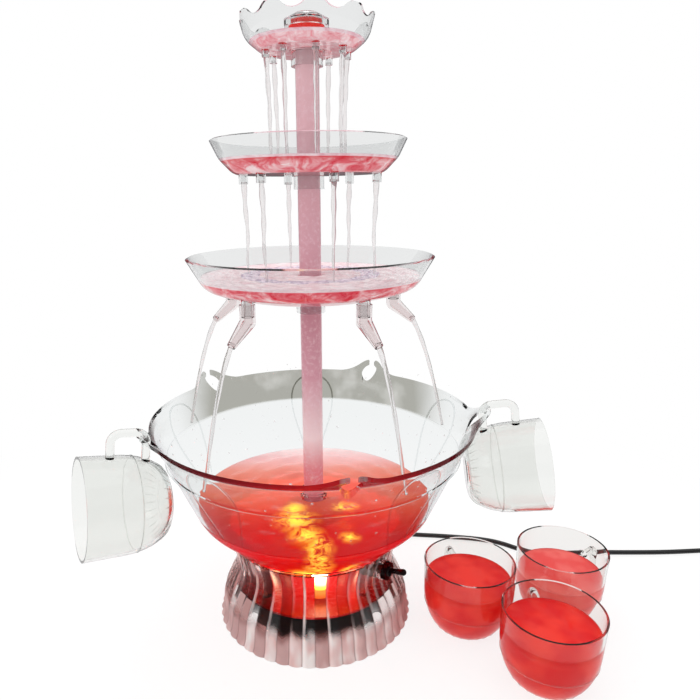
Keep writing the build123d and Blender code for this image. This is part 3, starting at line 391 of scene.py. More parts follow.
@dataclass(frozen=True)
class BowlDrink:
    """Red fruit drink in the bowl: pale at the back, red in front, with painted yellow lamp light over the
    bulbs.
    """

    name: str = "red fruit drink"
    clear: float = 0.06
    ior: float = 1.16
    roughness: float = 0.07
    surface: tuple = ((0.0, "#B80A10"), (1.0, "#FBF3F2"), (0.2, "#C01E18"), (0.29, "#CA3626"),
                      (0.38, "#D65842"), (0.5, "#DE7258"), (0.62, "#E27A64"), (0.74, "#E89888"),
                      (0.86, "#F0C4C2"), (0.94, "#F5DEDD"))
    upper: str = "#C20A10"
    deep: str = "#DC0606"
    blush: str = "#BE1A3C"
    # Painted lamp light: yellow patches over the bulbs
    painted_lamp_glow: str = "#FFCF45"
    blush_mm: float = 48.0
    blush_at: Pair = (0.5, 0.75)
    blush_share: float = 0.35
    top_mm: float = 114.6
    floor_mm: float = 84.6
    lamp_mm: float = 85.6
    painted_floor_glow_strength: float = 7.0
    painted_glow_strength: float = 0.8
    # strength: painted light that the whole drink gives off, standing in for light scattered inside it
    strength: float = 0.24
    painted_glow_breaks: Pair = (0.36, 0.58)
    sheen: Pair = (0.5, 0.03)
    reach_mm: float = 106.0
    painted_glows_mm: tuple = ((-18.0, -25.0, 17.0), (-15.0, -47.0, 26.0), (-6.0, -72.0, 20.0), (4.0, -92.0, 17.0),
                       (28.0, -23.0, 16.0), (29.0, -76.0, 12.0), (4.0, -104.0, 14.0), (6.0, -84.0, 13.0))
    ripple_mm: float = 13.0
    ripple_depth_mm: float = 1.2
    ripple_strength: float = 0.35

    def build(self) -> Material:
        """Colour by place on top and by depth at the side; broken patches of painted lamp light, and a
        painted bright floor over the bulbs.
        """
        material, tree, shader, place = start_material(
            self.name, Transmission_Weight=self.clear, IOR=self.ior, Roughness=self.roughness)
        part = add_node(tree, "ShaderNodeSeparateXYZ", {0: place}).outputs
        back = add_node(tree, "ShaderNodeMapRange", {"Value": part["Y"], "From Min": -self.reach_mm * MM,
                                                     "From Max": self.reach_mm * MM}).outputs["Result"]
        top = add_node(tree, "ShaderNodeValToRGB", {0: back}, stops=self.surface).outputs["Color"]
        depth = add_node(tree, "ShaderNodeMapRange", {"Value": part["Z"], "From Min": self.top_mm * MM,
                                                      "From Max": self.floor_mm * MM}).outputs["Result"]
        side = add_node(tree, "ShaderNodeValToRGB", {0: depth},
                        stops=[(0.0, self.upper), (1.0, self.deep)]).outputs["Color"]
        under = add_node(tree, "ShaderNodeMath", {0: depth, 1: 0.001}, operation="GREATER_THAN").outputs[0]
        sheen = add_node(tree, "ShaderNodeMapRange", {"Value": under, "To Min": self.sheen[0],
                                                      "To Max": self.sheen[1]}).outputs["Result"]
        tree.links.new(sheen, shader.inputs["Specular IOR Level"])
        plain = add_node(tree, "ShaderNodeMix", {"Factor": under, "A": top, "B": side},
                         data_type="RGBA").outputs["Result"]
        cloud = add_node(tree, "ShaderNodeTexNoise", {"Vector": place, "Scale": per_metre(self.blush_mm),
                                                      "Detail": 2.0})
        patch = add_node(tree, "ShaderNodeMapRange",
                         {"Value": cloud.outputs[0], "From Min": self.blush_at[0],
                          "From Max": self.blush_at[1], "To Max": self.blush_share}).outputs["Result"]
        body = add_node(tree, "ShaderNodeMix", {"Factor": patch, "A": plain, "B": linear(self.blush)},
                        data_type="RGBA").outputs["Result"]
        ripple = add_node(tree, "ShaderNodeTexNoise", {"Vector": place, "Scale": per_metre(self.ripple_mm),
                                                       "Detail": 5.0, "Roughness": 0.65, "Distortion": 1.2})
        plan = add_node(tree, "ShaderNodeMapping", {"Vector": place, "Scale": (1.0, 1.0, 0.0)}).outputs[0]
        # Painted lamp light: patches round the places over the bulbs, broken up by the ripples
        light: Socket | None = None
        for x, y, reach in self.painted_glows_mm:
            away = add_node(tree, "ShaderNodeVectorMath", {0: plan, 1: (x * MM, y * MM, 0.0)},
                            operation="DISTANCE").outputs["Value"]
            near = add_node(tree, "ShaderNodeMapRange",
                            {"Value": away, "From Min": reach * MM, "From Max": 0.0},
                            interpolation_type="SMOOTHSTEP").outputs["Result"]
            light = near if light is None else add_node(tree, "ShaderNodeMath", {0: light, 1: near},
                                                        operation="MAXIMUM").outputs[0]
        broken = add_node(tree, "ShaderNodeMapRange",
                          {"Value": ripple.outputs[0], "From Min": self.painted_glow_breaks[0],
                           "From Max": self.painted_glow_breaks[1]},
                          interpolation_type="SMOOTHSTEP").outputs["Result"]
        painted_glow_spots = add_node(tree, "ShaderNodeMath", {0: light, 1: broken}, operation="MULTIPLY").outputs[0]
        colour = add_node(tree, "ShaderNodeMix", {"Factor": painted_glow_spots, "A": body, "B": linear(self.painted_lamp_glow)},
                          data_type="RGBA").outputs["Result"]
        for socket in ("Base Color", "Emission Color"):
            tree.links.new(colour, shader.inputs[socket])
        # Painted lamp light: the drink's floor over the bulbs gives off strong light
        floor = add_node(tree, "ShaderNodeMath", {0: part["Z"], 1: self.lamp_mm * MM},
                         operation="LESS_THAN").outputs[0]
        painted_glow_base = add_node(tree, "ShaderNodeMath", {0: floor, 1: self.painted_floor_glow_strength, 2: self.strength},
                         operation="MULTIPLY_ADD").outputs[0]
        strength = add_node(tree, "ShaderNodeMath", {0: painted_glow_spots, 1: self.painted_glow_strength, 2: painted_glow_base},
                            operation="MULTIPLY_ADD").outputs[0]
        tree.links.new(strength, shader.inputs["Emission Strength"])
        bump = add_node(tree, "ShaderNodeBump",
                        {"Height": ripple.outputs[0], "Strength": self.ripple_strength,
                         "Distance": self.ripple_depth_mm * MM})
        tree.links.new(bump.outputs[0], shader.inputs["Normal"])
        return material


@dataclass(frozen=True)
class TrayDrink:
    """Drink churned in a tray: red where it is deep to the eye, coral and white below, pale pink on top."""

    name: str
    level_mm: float
    still: str = "#D2101C"
    red: str = "#D62A40"
    coral: str = "#E67E88"
    foam: str = "#FBEEEF"
    top_pink: str = "#E2B2BE"
    top_foam: str = "#F1E4E8"
    top_mm: float = 1.6
    grain_mm: float = 15.0
    still_from: float = 0.3
    still_to: float = 0.75
    edge_mm: Pair = (63.0, 69.0)
    edge_share: float = 0.8
    ring_mm: Pair = (0.0, 0.0)
    ring: str = "#E9E4EF"
    ring_speck: str = "#BBB4C8"
    speck_mm: float = 3.2
    clear: float = 0.2
    ior: float = 1.18
    roughness: float = 0.12
    # Painted light: the drink gives off light in its own colour, standing in for light scattered inside it
    strength: float = 0.34
    bump_mm: float = 1.0
    bump_strength: float = 0.4

    def build(self) -> Material:
        """Cloudy noise picks the colours, red grows where the side turns away, the top has its own pinks."""
        material, tree, shader, place = start_material(
            self.name, Transmission_Weight=self.clear, IOR=self.ior, Roughness=self.roughness,
            Emission_Strength=self.strength)
        flow = add_node(tree, "ShaderNodeMapping", {"Vector": place, "Scale": (1.0, 1.0, 1.7)}).outputs[0]
        cloud = add_node(tree, "ShaderNodeTexNoise", {"Vector": flow, "Scale": per_metre(self.grain_mm),
                                                      "Detail": 6.0, "Roughness": 0.66,
                                                      "Distortion": 0.9}).outputs[0]
        mixed = add_node(tree, "ShaderNodeValToRGB", {0: cloud},
                         stops=[(0.36, self.red), (0.66, self.foam), (0.5, self.coral)]).outputs["Color"]
        facing = add_node(tree, "ShaderNodeLayerWeight", {"Blend": 0.4}).outputs["Facing"]
        turn = add_node(tree, "ShaderNodeMapRange", {"Value": facing, "From Min": self.still_from,
                                                     "From Max": self.still_to},
                        interpolation_type="SMOOTHSTEP").outputs["Result"]
        plan = add_node(tree, "ShaderNodeMapping", {"Vector": place, "Scale": (1.0, 1.0, 0.0)}).outputs[0]
        radius = add_node(tree, "ShaderNodeVectorMath", {0: plan}, operation="LENGTH").outputs["Value"]
        outer = add_node(tree, "ShaderNodeMapRange", {"Value": radius, "From Min": self.edge_mm[0] * MM,
                                                      "From Max": self.edge_mm[1] * MM,
                                                      "To Max": self.edge_share},
                         interpolation_type="SMOOTHSTEP").outputs["Result"]
        most = add_node(tree, "ShaderNodeMath", {0: turn, 1: outer}, operation="MAXIMUM").outputs[0]
        side = add_node(tree, "ShaderNodeMix", {"Factor": most, "A": mixed, "B": linear(self.still)},
                        data_type="RGBA").outputs["Result"]
        top = add_node(tree, "ShaderNodeValToRGB", {0: cloud},
                       stops=[(0.35, self.top_pink), (0.6, self.top_foam)]).outputs["Color"]
        if self.ring_mm[1] > 0.0:
            fine = add_node(tree, "ShaderNodeTexNoise", {"Vector": flow, "Scale": per_metre(self.speck_mm),
                                                         "Detail": 3.0})
            speck = add_node(tree, "ShaderNodeValToRGB", {0: fine.outputs[0]},
                             stops=[(0.42, self.ring_speck), (0.56, self.ring)]).outputs["Color"]
            middle, half = sum(self.ring_mm) / 2.0 * MM, (self.ring_mm[1] - self.ring_mm[0]) / 2.0 * MM
            off = add_node(tree, "ShaderNodeMath", {0: radius, 1: middle, 2: half},
                           operation="COMPARE").outputs[0]
            top = add_node(tree, "ShaderNodeMix", {"Factor": off, "A": top, "B": speck},
                           data_type="RGBA").outputs["Result"]
        height = add_node(tree, "ShaderNodeSeparateXYZ", {0: place}).outputs["Z"]
        over = add_node(tree, "ShaderNodeMath", {0: height, 1: (self.level_mm - self.top_mm) * MM},
                        operation="GREATER_THAN").outputs[0]
        colour = add_node(tree, "ShaderNodeMix", {"Factor": over, "A": side, "B": top},
                          data_type="RGBA").outputs["Result"]
        for socket in ("Base Color", "Emission Color"):
            tree.links.new(colour, shader.inputs[socket])
        bump = add_node(tree, "ShaderNodeBump", {"Height": cloud, "Strength": self.bump_strength,
                                                 "Distance": self.bump_mm * MM})
        tree.links.new(bump.outputs[0], shader.inputs["Normal"])
        return material


@dataclass(frozen=True)
class ColumnDrink:
    """Aerated drink in the column: mauve-pink with fine bubbles, paler above the bowl, red near it."""

    name: str = "drink rising in the column"
    by_height: tuple = ((0.0, "#E0606C"), (1.0, "#DFB9BE"), (0.09, "#DE8C94"), (0.17, "#EBD2D4"),
                        (0.32, "#CE98A4"), (0.48, "#C0828F"), (0.62, "#D3A2AC"))
    # side: painted shade where the tube turns from the eye
    side: str = "#9A7086"
    bubble: str = "#E9D3DA"
    low_mm: float = 110.0
    high_mm: float = 490.0
    bubble_mm: float = 3.0
    bubble_at: Pair = (0.5, 0.75)
    bubble_share: float = 0.55
    side_at: Pair = (0.55, 0.95)
    side_share: float = 0.6
    clear: float = 0.15
    ior: float = 1.2
    roughness: float = 0.15
    # Painted light: the drink gives off light in its own colour, standing in for light scattered inside it
    strength: float = 0.42

    def build(self) -> Material:
        """Colour by height, painted darker shade where the tube turns away, with fine pale bubbles."""
        material, tree, shader, place = start_material(
            self.name, Transmission_Weight=self.clear, IOR=self.ior, Roughness=self.roughness,
            Emission_Strength=self.strength)
        height = add_node(tree, "ShaderNodeSeparateXYZ", {0: place}).outputs["Z"]
        up = add_node(tree, "ShaderNodeMapRange", {"Value": height, "From Min": self.low_mm * MM,
                                                   "From Max": self.high_mm * MM}).outputs["Result"]
        body = add_node(tree, "ShaderNodeValToRGB", {0: up}, stops=self.by_height).outputs["Color"]
        grain = add_node(tree, "ShaderNodeTexNoise", {"Vector": place, "Scale": per_metre(self.bubble_mm),
                                                      "Detail": 4.0, "Roughness": 0.7}).outputs[0]
        fleck = add_node(tree, "ShaderNodeMapRange",
                         {"Value": grain, "From Min": self.bubble_at[0], "From Max": self.bubble_at[1],
                          "To Max": self.bubble_share}).outputs["Result"]
        mixed = add_node(tree, "ShaderNodeMix", {"Factor": fleck, "A": body, "B": linear(self.bubble)},
                         data_type="RGBA").outputs["Result"]
        # Painted shade: darker where the tube turns from the eye
        facing = add_node(tree, "ShaderNodeLayerWeight", {"Blend": 0.4}).outputs["Facing"]
        turn = add_node(tree, "ShaderNodeMapRange",
                        {"Value": facing, "From Min": self.side_at[0], "From Max": self.side_at[1],
                         "To Max": self.side_share}).outputs["Result"]
        colour = add_node(tree, "ShaderNodeMix", {"Factor": turn, "A": mixed, "B": linear(self.side)},
                          data_type="RGBA").outputs["Result"]
        for socket in ("Base Color", "Emission Color"):
            tree.links.new(colour, shader.inputs[socket])
        return material


@dataclass(frozen=True)
class CupDrink:
    """Red drink in a cup: bright in the middle, deeper at the sides."""

    name: str = "red drink in the cups"
    middle: str = "#E8382C"
    cloudy: str = "#D61A1C"
    side: str = "#B80C18"
    # base: colour of the painted highlights near the bottom of the fill
    base: str = "#F0967A"
    base_mm: Pair = (12.0, 3.0)
    painted_glint_mm: float = 7.0
    painted_glint_at: Pair = (0.5, 0.7)
    cloud_mm: float = 26.0
    side_at: Pair = (0.5, 0.95)
    clear: float = 0.34
    ior: float = 1.22
    roughness: float = 0.05
    # Painted light: the drink gives off light in its own colour, standing in for light scattered inside it
    strength: float = 0.3

    def build(self) -> Material:
        """Two close reds by slow noise, deeper where the fill turns away, with painted pale highlights at the
        base.
        """
        material, tree, shader, place = start_material(
            self.name, Transmission_Weight=self.clear, IOR=self.ior, Roughness=self.roughness,
            Emission_Strength=self.strength)
        cloud = add_node(tree, "ShaderNodeTexNoise", {"Vector": place, "Scale": per_metre(self.cloud_mm),
                                                      "Detail": 2.0}).outputs[0]
        body = add_node(tree, "ShaderNodeValToRGB", {0: cloud},
                        stops=[(0.4, self.middle), (0.6, self.cloudy)]).outputs["Color"]
        facing = add_node(tree, "ShaderNodeLayerWeight", {"Blend": 0.4}).outputs["Facing"]
        turn = add_node(tree, "ShaderNodeMapRange",
                        {"Value": facing, "From Min": self.side_at[0], "From Max": self.side_at[1]},
                        interpolation_type="SMOOTHSTEP").outputs["Result"]
        deep = add_node(tree, "ShaderNodeMix", {"Factor": turn, "A": body, "B": linear(self.side)},
                        data_type="RGBA").outputs["Result"]
        height = add_node(tree, "ShaderNodeSeparateXYZ", {0: place}).outputs["Z"]
        low = add_node(tree, "ShaderNodeMapRange", {"Value": height, "From Min": self.base_mm[0] * MM,
                                                    "From Max": self.base_mm[1] * MM}).outputs["Result"]
        # Painted highlights: pale specks low in the fill, where the fluted foot glints
        fine = add_node(tree, "ShaderNodeTexNoise", {"Vector": place, "Scale": per_metre(self.painted_glint_mm),
                                                     "Detail": 2.0}).outputs[0]
        spark = add_node(tree, "ShaderNodeMapRange", {"Value": fine, "From Min": self.painted_glint_at[0],
                                                      "From Max": self.painted_glint_at[1]}).outputs["Result"]
        painted_glint = add_node(tree, "ShaderNodeMath", {0: low, 1: spark}, operation="MULTIPLY").outputs[0]
        colour = add_node(tree, "ShaderNodeMix", {"Factor": painted_glint, "A": deep, "B": linear(self.base)},
                          data_type="RGBA").outputs["Result"]
        for socket in ("Base Color", "Emission Color"):
            tree.links.new(colour, shader.inputs[socket])
        return material


@dataclass(frozen=True)
class FallingWater:
    """Thin stream of drink: nearly clear, with painted grey shade at its sides."""

    name: str = "falling drink"
    face: str = "#F3F1F1"
    edge: str = "#6C646A"
    ripple_mm: float = 9.0
    ripple_depth_mm: float = 0.6

    def build(self) -> Material:
        """Clear in the middle and painted grey shade at the sides, with long ripples down the stream."""
        material, tree, shader, place = start_material(
            self.name, Transmission_Weight=0.9, IOR=1.33, Roughness=0.05)
        # Painted shade: grey where the stream turns from the eye
        facing = add_node(tree, "ShaderNodeLayerWeight", {"Blend": 0.45}).outputs["Facing"]
        ramp = add_node(tree, "ShaderNodeValToRGB", {0: facing}, stops=[(0.35, self.face), (0.9, self.edge)])
        tree.links.new(ramp.outputs["Color"], shader.inputs["Base Color"])
        ripple = add_node(tree, "ShaderNodeTexNoise", {"Vector": place, "Scale": per_metre(self.ripple_mm),
                                                       "Detail": 2.0})
        bump = add_node(tree, "ShaderNodeBump", {"Height": ripple.outputs[0], "Strength": 0.3,
                                                 "Distance": self.ripple_depth_mm * MM})
        tree.links.new(bump.outputs[0], shader.inputs["Normal"])
        return material


@dataclass(frozen=True)
class OpaqueMoulding:
    """Opaque moulded plastic or rubber: fine grain in colour and gloss, and a faint bump.

    The real grain is too fine to show in the render, so it is drawn coarser.
    """

    name: str
    colour: str
    mottled: str
    roughness: float = 0.3
    grain_mm: float = 1.6
    bump_mm: float = 0.05
    ior: float = 1.5

    def build(self) -> Material:
        """Two close colours and a gloss that varies with the same grain."""
        material, tree, shader, place = start_material(self.name, IOR=self.ior)
        grain = add_node(tree, "ShaderNodeTexNoise", {"Vector": place, "Scale": per_metre(self.grain_mm),
                                                      "Detail": 4.0})
        ramp = add_node(tree, "ShaderNodeValToRGB", {0: grain.outputs[0]},
                        stops=[(0.3, self.colour), (0.75, self.mottled)])
        tree.links.new(ramp.outputs["Color"], shader.inputs["Base Color"])
        gloss = add_node(tree, "ShaderNodeMapRange",
                         {"Value": grain.outputs[0], "To Min": self.roughness * 0.8,
                          "To Max": self.roughness * 1.25}).outputs["Result"]
        tree.links.new(gloss, shader.inputs["Roughness"])
        bump = add_node(tree, "ShaderNodeBump", {"Height": grain.outputs[0], "Strength": 0.2,
                                                 "Distance": self.bump_mm * MM})
        tree.links.new(bump.outputs[0], shader.inputs["Normal"])
        return material


@dataclass(frozen=True)
class BareMetal:
    """Turned or drawn metal: fine lines that vary the gloss, drawn coarser than the real ones to show."""

    name: str
    colour: str
    mottled: str
    roughness: float = 0.3
    line_mm: float = 0.8

    def build(self) -> Material:
        """Lines across the height of the piece in colour and gloss."""
        material, tree, shader, place = start_material(self.name, Metallic=1.0)
        lines = add_node(tree, "ShaderNodeMapping", {"Vector": place, "Scale": (0.15, 0.15, 1.0)}).outputs[0]
        grain = add_node(tree, "ShaderNodeTexNoise", {"Vector": lines, "Scale": per_metre(self.line_mm),
                                                      "Detail": 3.0})
        ramp = add_node(tree, "ShaderNodeValToRGB", {0: grain.outputs[0]},
                        stops=[(0.3, self.colour), (0.7, self.mottled)])
        tree.links.new(ramp.outputs["Color"], shader.inputs["Base Color"])
        gloss = add_node(tree, "ShaderNodeMapRange",
                         {"Value": grain.outputs[0], "To Min": self.roughness * 0.7,
                          "To Max": self.roughness * 1.3}).outputs["Result"]
        tree.links.new(gloss, shader.inputs["Roughness"])
        return material


@dataclass(frozen=True)
class LitBulb:
    """Lit bulb of warm glass: white-hot in the middle and amber at its neck."""

    name: str = "lit bulb glass"
    hot: str = "#FFF1C8"
    amber: str = "#FF9A2E"
    strength: float = 20.0
    neck_mm: float = 50.0
    crown_mm: float = 66.0

    def build(self) -> Material:
        """Emission colour by height, amber at the neck and white-hot above."""
        material, tree, shader, place = start_material(self.name, Roughness=0.1,
                                                       Emission_Strength=self.strength)
        height = add_node(tree, "ShaderNodeSeparateXYZ", {0: place}).outputs["Z"]
        up = add_node(tree, "ShaderNodeMapRange", {"Value": height, "From Min": self.neck_mm * MM,
                                                   "From Max": self.crown_mm * MM}).outputs["Result"]
        ramp = add_node(tree, "ShaderNodeValToRGB", {0: up}, stops=[(0.0, self.amber), (0.6, self.hot)])
        tree.links.new(ramp.outputs["Color"], shader.inputs["Emission Color"])
        tree.links.new(ramp.outputs["Color"], shader.inputs["Base Color"])
        return material


@dataclass(frozen=True)
class DeckWithPaintedLampLight:
    """Dark maroon plate with painted red lamp light where the front lamp would light it."""

    name: str = "dark maroon gloss ABS"
    tones: tuple[str, str] = ("#4C0406", "#580709")
    # Colour of the painted red lamp light on the plate
    painted_lamp_glow: str = "#FF1408"
    strength: float = 0.45
    lamp_mm: float = 5.0
    reach_mm: Pair = (48.0, 20.0)

    def build(self) -> Material:
        """Moulded plate with painted red lamp light that fades to both sides of the lamp."""
        material = OpaqueMoulding(self.name, *self.tones, 0.26).build()
        tree = material.node_tree
        shader = next(node for node in tree.nodes if node.type == "BSDF_PRINCIPLED")
        place = add_node(tree, "ShaderNodeTexCoord").outputs["Object"]
        across = add_node(tree, "ShaderNodeSeparateXYZ", {0: place}).outputs["X"]
        aside = add_node(tree, "ShaderNodeMath", {0: across, 1: self.lamp_mm * MM},
                         operation="SUBTRACT").outputs[0]
        away = add_node(tree, "ShaderNodeMath", {0: aside}, operation="ABSOLUTE").outputs[0]
        # Painted lamp light: the plate gives off red light near the front lamp, fading to both sides
        near = add_node(tree, "ShaderNodeMapRange", {"Value": away, "From Min": self.reach_mm[0] * MM,
                                                     "From Max": self.reach_mm[1] * MM,
                                                     "To Max": self.strength},
                        interpolation_type="SMOOTHSTEP").outputs["Result"]
        shader.inputs["Emission Color"].default_value = linear(self.painted_lamp_glow)
        tree.links.new(near, shader.inputs["Emission Strength"])
        return material


def units(vectors: np.ndarray) -> np.ndarray:
    """Vectors brought to a length of one, row by row."""
    return vectors / np.linalg.norm(vectors, axis=1)[:, None]


def filleted(points: Sequence[Pair], radii: Sequence[float], steps: int = 16) -> np.ndarray:
    """Rounds the inner corners of an outline.

    Each corner becomes an arc of its radius that touches both sides: the arc's centre lies on the bisector.

    Args:
        points: corners as radius and height.
        radii: one radius for each inner corner.
        steps: points in each arc.

    Returns:
        Points of the rounded outline.
    """
    corners = np.array(points, float)
    parts = [corners[:1]]
    for before, corner, after, radius in zip(corners, corners[1:], corners[2:], radii):
        a, b = units(np.stack([before - corner, after - corner]))
        half = math.acos(float(np.clip(a @ b, -1.0, 1.0))) / 2.0
        centre = corner + units((a + b)[None])[0] * radius / math.sin(half)
        first, last = (corner + side * radius / math.tan(half) - centre for side in (a, b))
        start = math.atan2(first[1], first[0])
        sweep = math.atan2(first[0] * last[1] - first[1] * last[0], float(first @ last))
        turn = start + sweep * np.linspace(0.0, 1.0, steps)
        parts.append(centre + radius * np.stack([np.cos(turn), np.sin(turn)], 1))
    return np.concatenate([*parts, corners[-1:]])


def spread(line: np.ndarray, step: float) -> np.ndarray:
    """Points at an even step along a line.

    Args:
        line: points of the line.
        step: distance between points.

    Returns:
        Points by linear interpolation along the length.
    """
    reach = np.concatenate([[0.0], np.cumsum(np.linalg.norm(np.diff(line, axis=0), axis=1))])
    at = np.linspace(0.0, reach[-1], max(2, int(reach[-1] / step) + 1))
    return np.stack([np.interp(at, reach, column) for column in line.T], 1)


def moved_in(line: np.ndarray, distance: float) -> np.ndarray:
    """Line moved to its left by a distance: each point goes along the tangent turned a quarter."""
    tangent = units(np.gradient(line, axis=0))
    return line + distance * np.stack([-tangent[:, 1], tangent[:, 0]], 1)


def through(points: np.ndarray, steps: int) -> np.ndarray:
    """Smooth line through points, by a cubic between each pair whose slopes are half the step across it.

    Args:
        points: points to go through.
        steps: places between each pair.

    Returns:
        Points of the smooth line.
    """
    ends = np.concatenate([2.0 * points[:1] - points[1:2], points, 2.0 * points[-1:] - points[-2:-1]])
    a, b, c, d = (part[:, None] for part in (ends[:-3], ends[1:-2], ends[2:-1], ends[3:]))
    t = np.linspace(0.0, 1.0, steps, endpoint=False)[None, :, None]
    line = 0.5 * (2.0 * b + (c - a) * t + (2.0 * a - 5.0 * b + 4.0 * c - d) * t ** 2
                  + (3.0 * b - a - 3.0 * c + d) * t ** 3)
    return np.concatenate([line.reshape(-1, points.shape[1]), points[-1:]])


def full_turn(count: int) -> np.ndarray:
    """Angles of a full turn in even steps, the last short of the first by one step."""
    return np.linspace(0.0, FULL_TURN, count, endpoint=False)


def placed(radius: Any, turn: Any, height: Any) -> np.ndarray:
    """Points round the axis: x = r cos t, y = r sin t, z as it is, for numbers or matching arrays."""
    return np.stack(np.broadcast_arrays(radius * np.cos(turn), radius * np.sin(turn), height), -1)


def turned_ring(profile: np.ndarray, columns: int) -> np.ndarray:
    """Profile of radius and height carried round the axis, as rows of columns."""
    return placed(profile[:, :1], full_turn(columns), profile[:, 1:])


def grid_faces(rows: int, columns: int, close_rows: bool) -> list:
    """Quads of a grid that closes round its columns.

    Args:
        rows: points along the profile.
        columns: points round the axis.
        close_rows: whether the last row joins the first.

    Returns:
        Corner numbers of each quad.
    """
    i, j = np.meshgrid(np.arange(rows if close_rows else rows - 1), np.arange(columns), indexing="ij")
    i2, j2 = (i + 1) % rows, (j + 1) % columns
    quads = np.stack([i * columns + j, i * columns + j2, i2 * columns + j2, i2 * columns + j], -1)
    return quads.reshape(-1, 4).tolist()


def capped_faces(rows: int, columns: int) -> list:
    """Quads of a tube, with one face to close each end."""
    last = rows * columns
    return grid_faces(rows, columns, False) + [list(range(columns))[::-1], list(range(last - columns, last))]


def tube(path: np.ndarray, radius: np.ndarray, across: np.ndarray, sides: int = 14) -> Mesh:
    """Round section carried along a path, closed at both ends.

    The ring at each point is p + r (n cos t + b sin t), with b across the path and n = b x tangent.

    Args:
        path: points in millimetres.
        radius: radius at each point.
        across: unit direction square to the path, one for all points or one for each.
        sides: points in each ring.

    Returns:
        Points and faces.
    """
    across = np.broadcast_to(across, path.shape)
    normal = np.cross(across, units(np.gradient(path, axis=0)))
    turn = full_turn(sides)[None, :, None]
    ring = normal[:, None] * np.cos(turn) + across[:, None] * np.sin(turn)
    points = path[:, None] + radius[:, None, None] * ring
    return points.reshape(-1, 3), capped_faces(len(path), sides)


def joined(parts: Sequence[Mesh]) -> Mesh:
    """Several meshes as one: the face numbers of each move on by the points before it."""
    faces, start = [], 0
    for points, part_faces in parts:
        faces += [[corner + start for corner in face] for face in part_faces]
        start += len(points)
    return np.concatenate([points for points, _ in parts]), faces


def add_object(name: str, data: bpy.types.ID) -> bpy.types.Object:
    """New object at the origin, linked to the scene."""
    item = bpy.data.objects.new(name, data)
    bpy.context.scene.collection.objects.link(item)
    return item


def add_mesh(name: str, points: np.ndarray, faces: list, material: Material) -> bpy.types.Object:
    """New mesh object with points in metres, its faces and one material."""
    mesh = bpy.data.meshes.new(name)
    mesh.from_pydata(points.tolist(), [], faces)
    mesh.materials.append(material)
    return add_object(name, mesh)


def make_piece(name: str, points_mm: np.ndarray, faces: list, material: Material, body: Body = Body.BASE,
               slot: str = "clear_styrene") -> None:
    """Makes a smooth mesh piece at the origin that rides on a body.

    Args:
        name: piece's name.
        points_mm: points in millimetres.
        faces: corner numbers of each face.
        material: its finish.
        body: body that it moves with.
        slot: material slot of the record; not used.
    """
    piece = add_mesh(name, points_mm.reshape(-1, 3) * MM, faces, material)
    piece.data.validate()
    piece.data.shade_smooth()
    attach(piece, body.value)
    LOG.info("%s: %d faces on %s", name, len(faces), body.value)


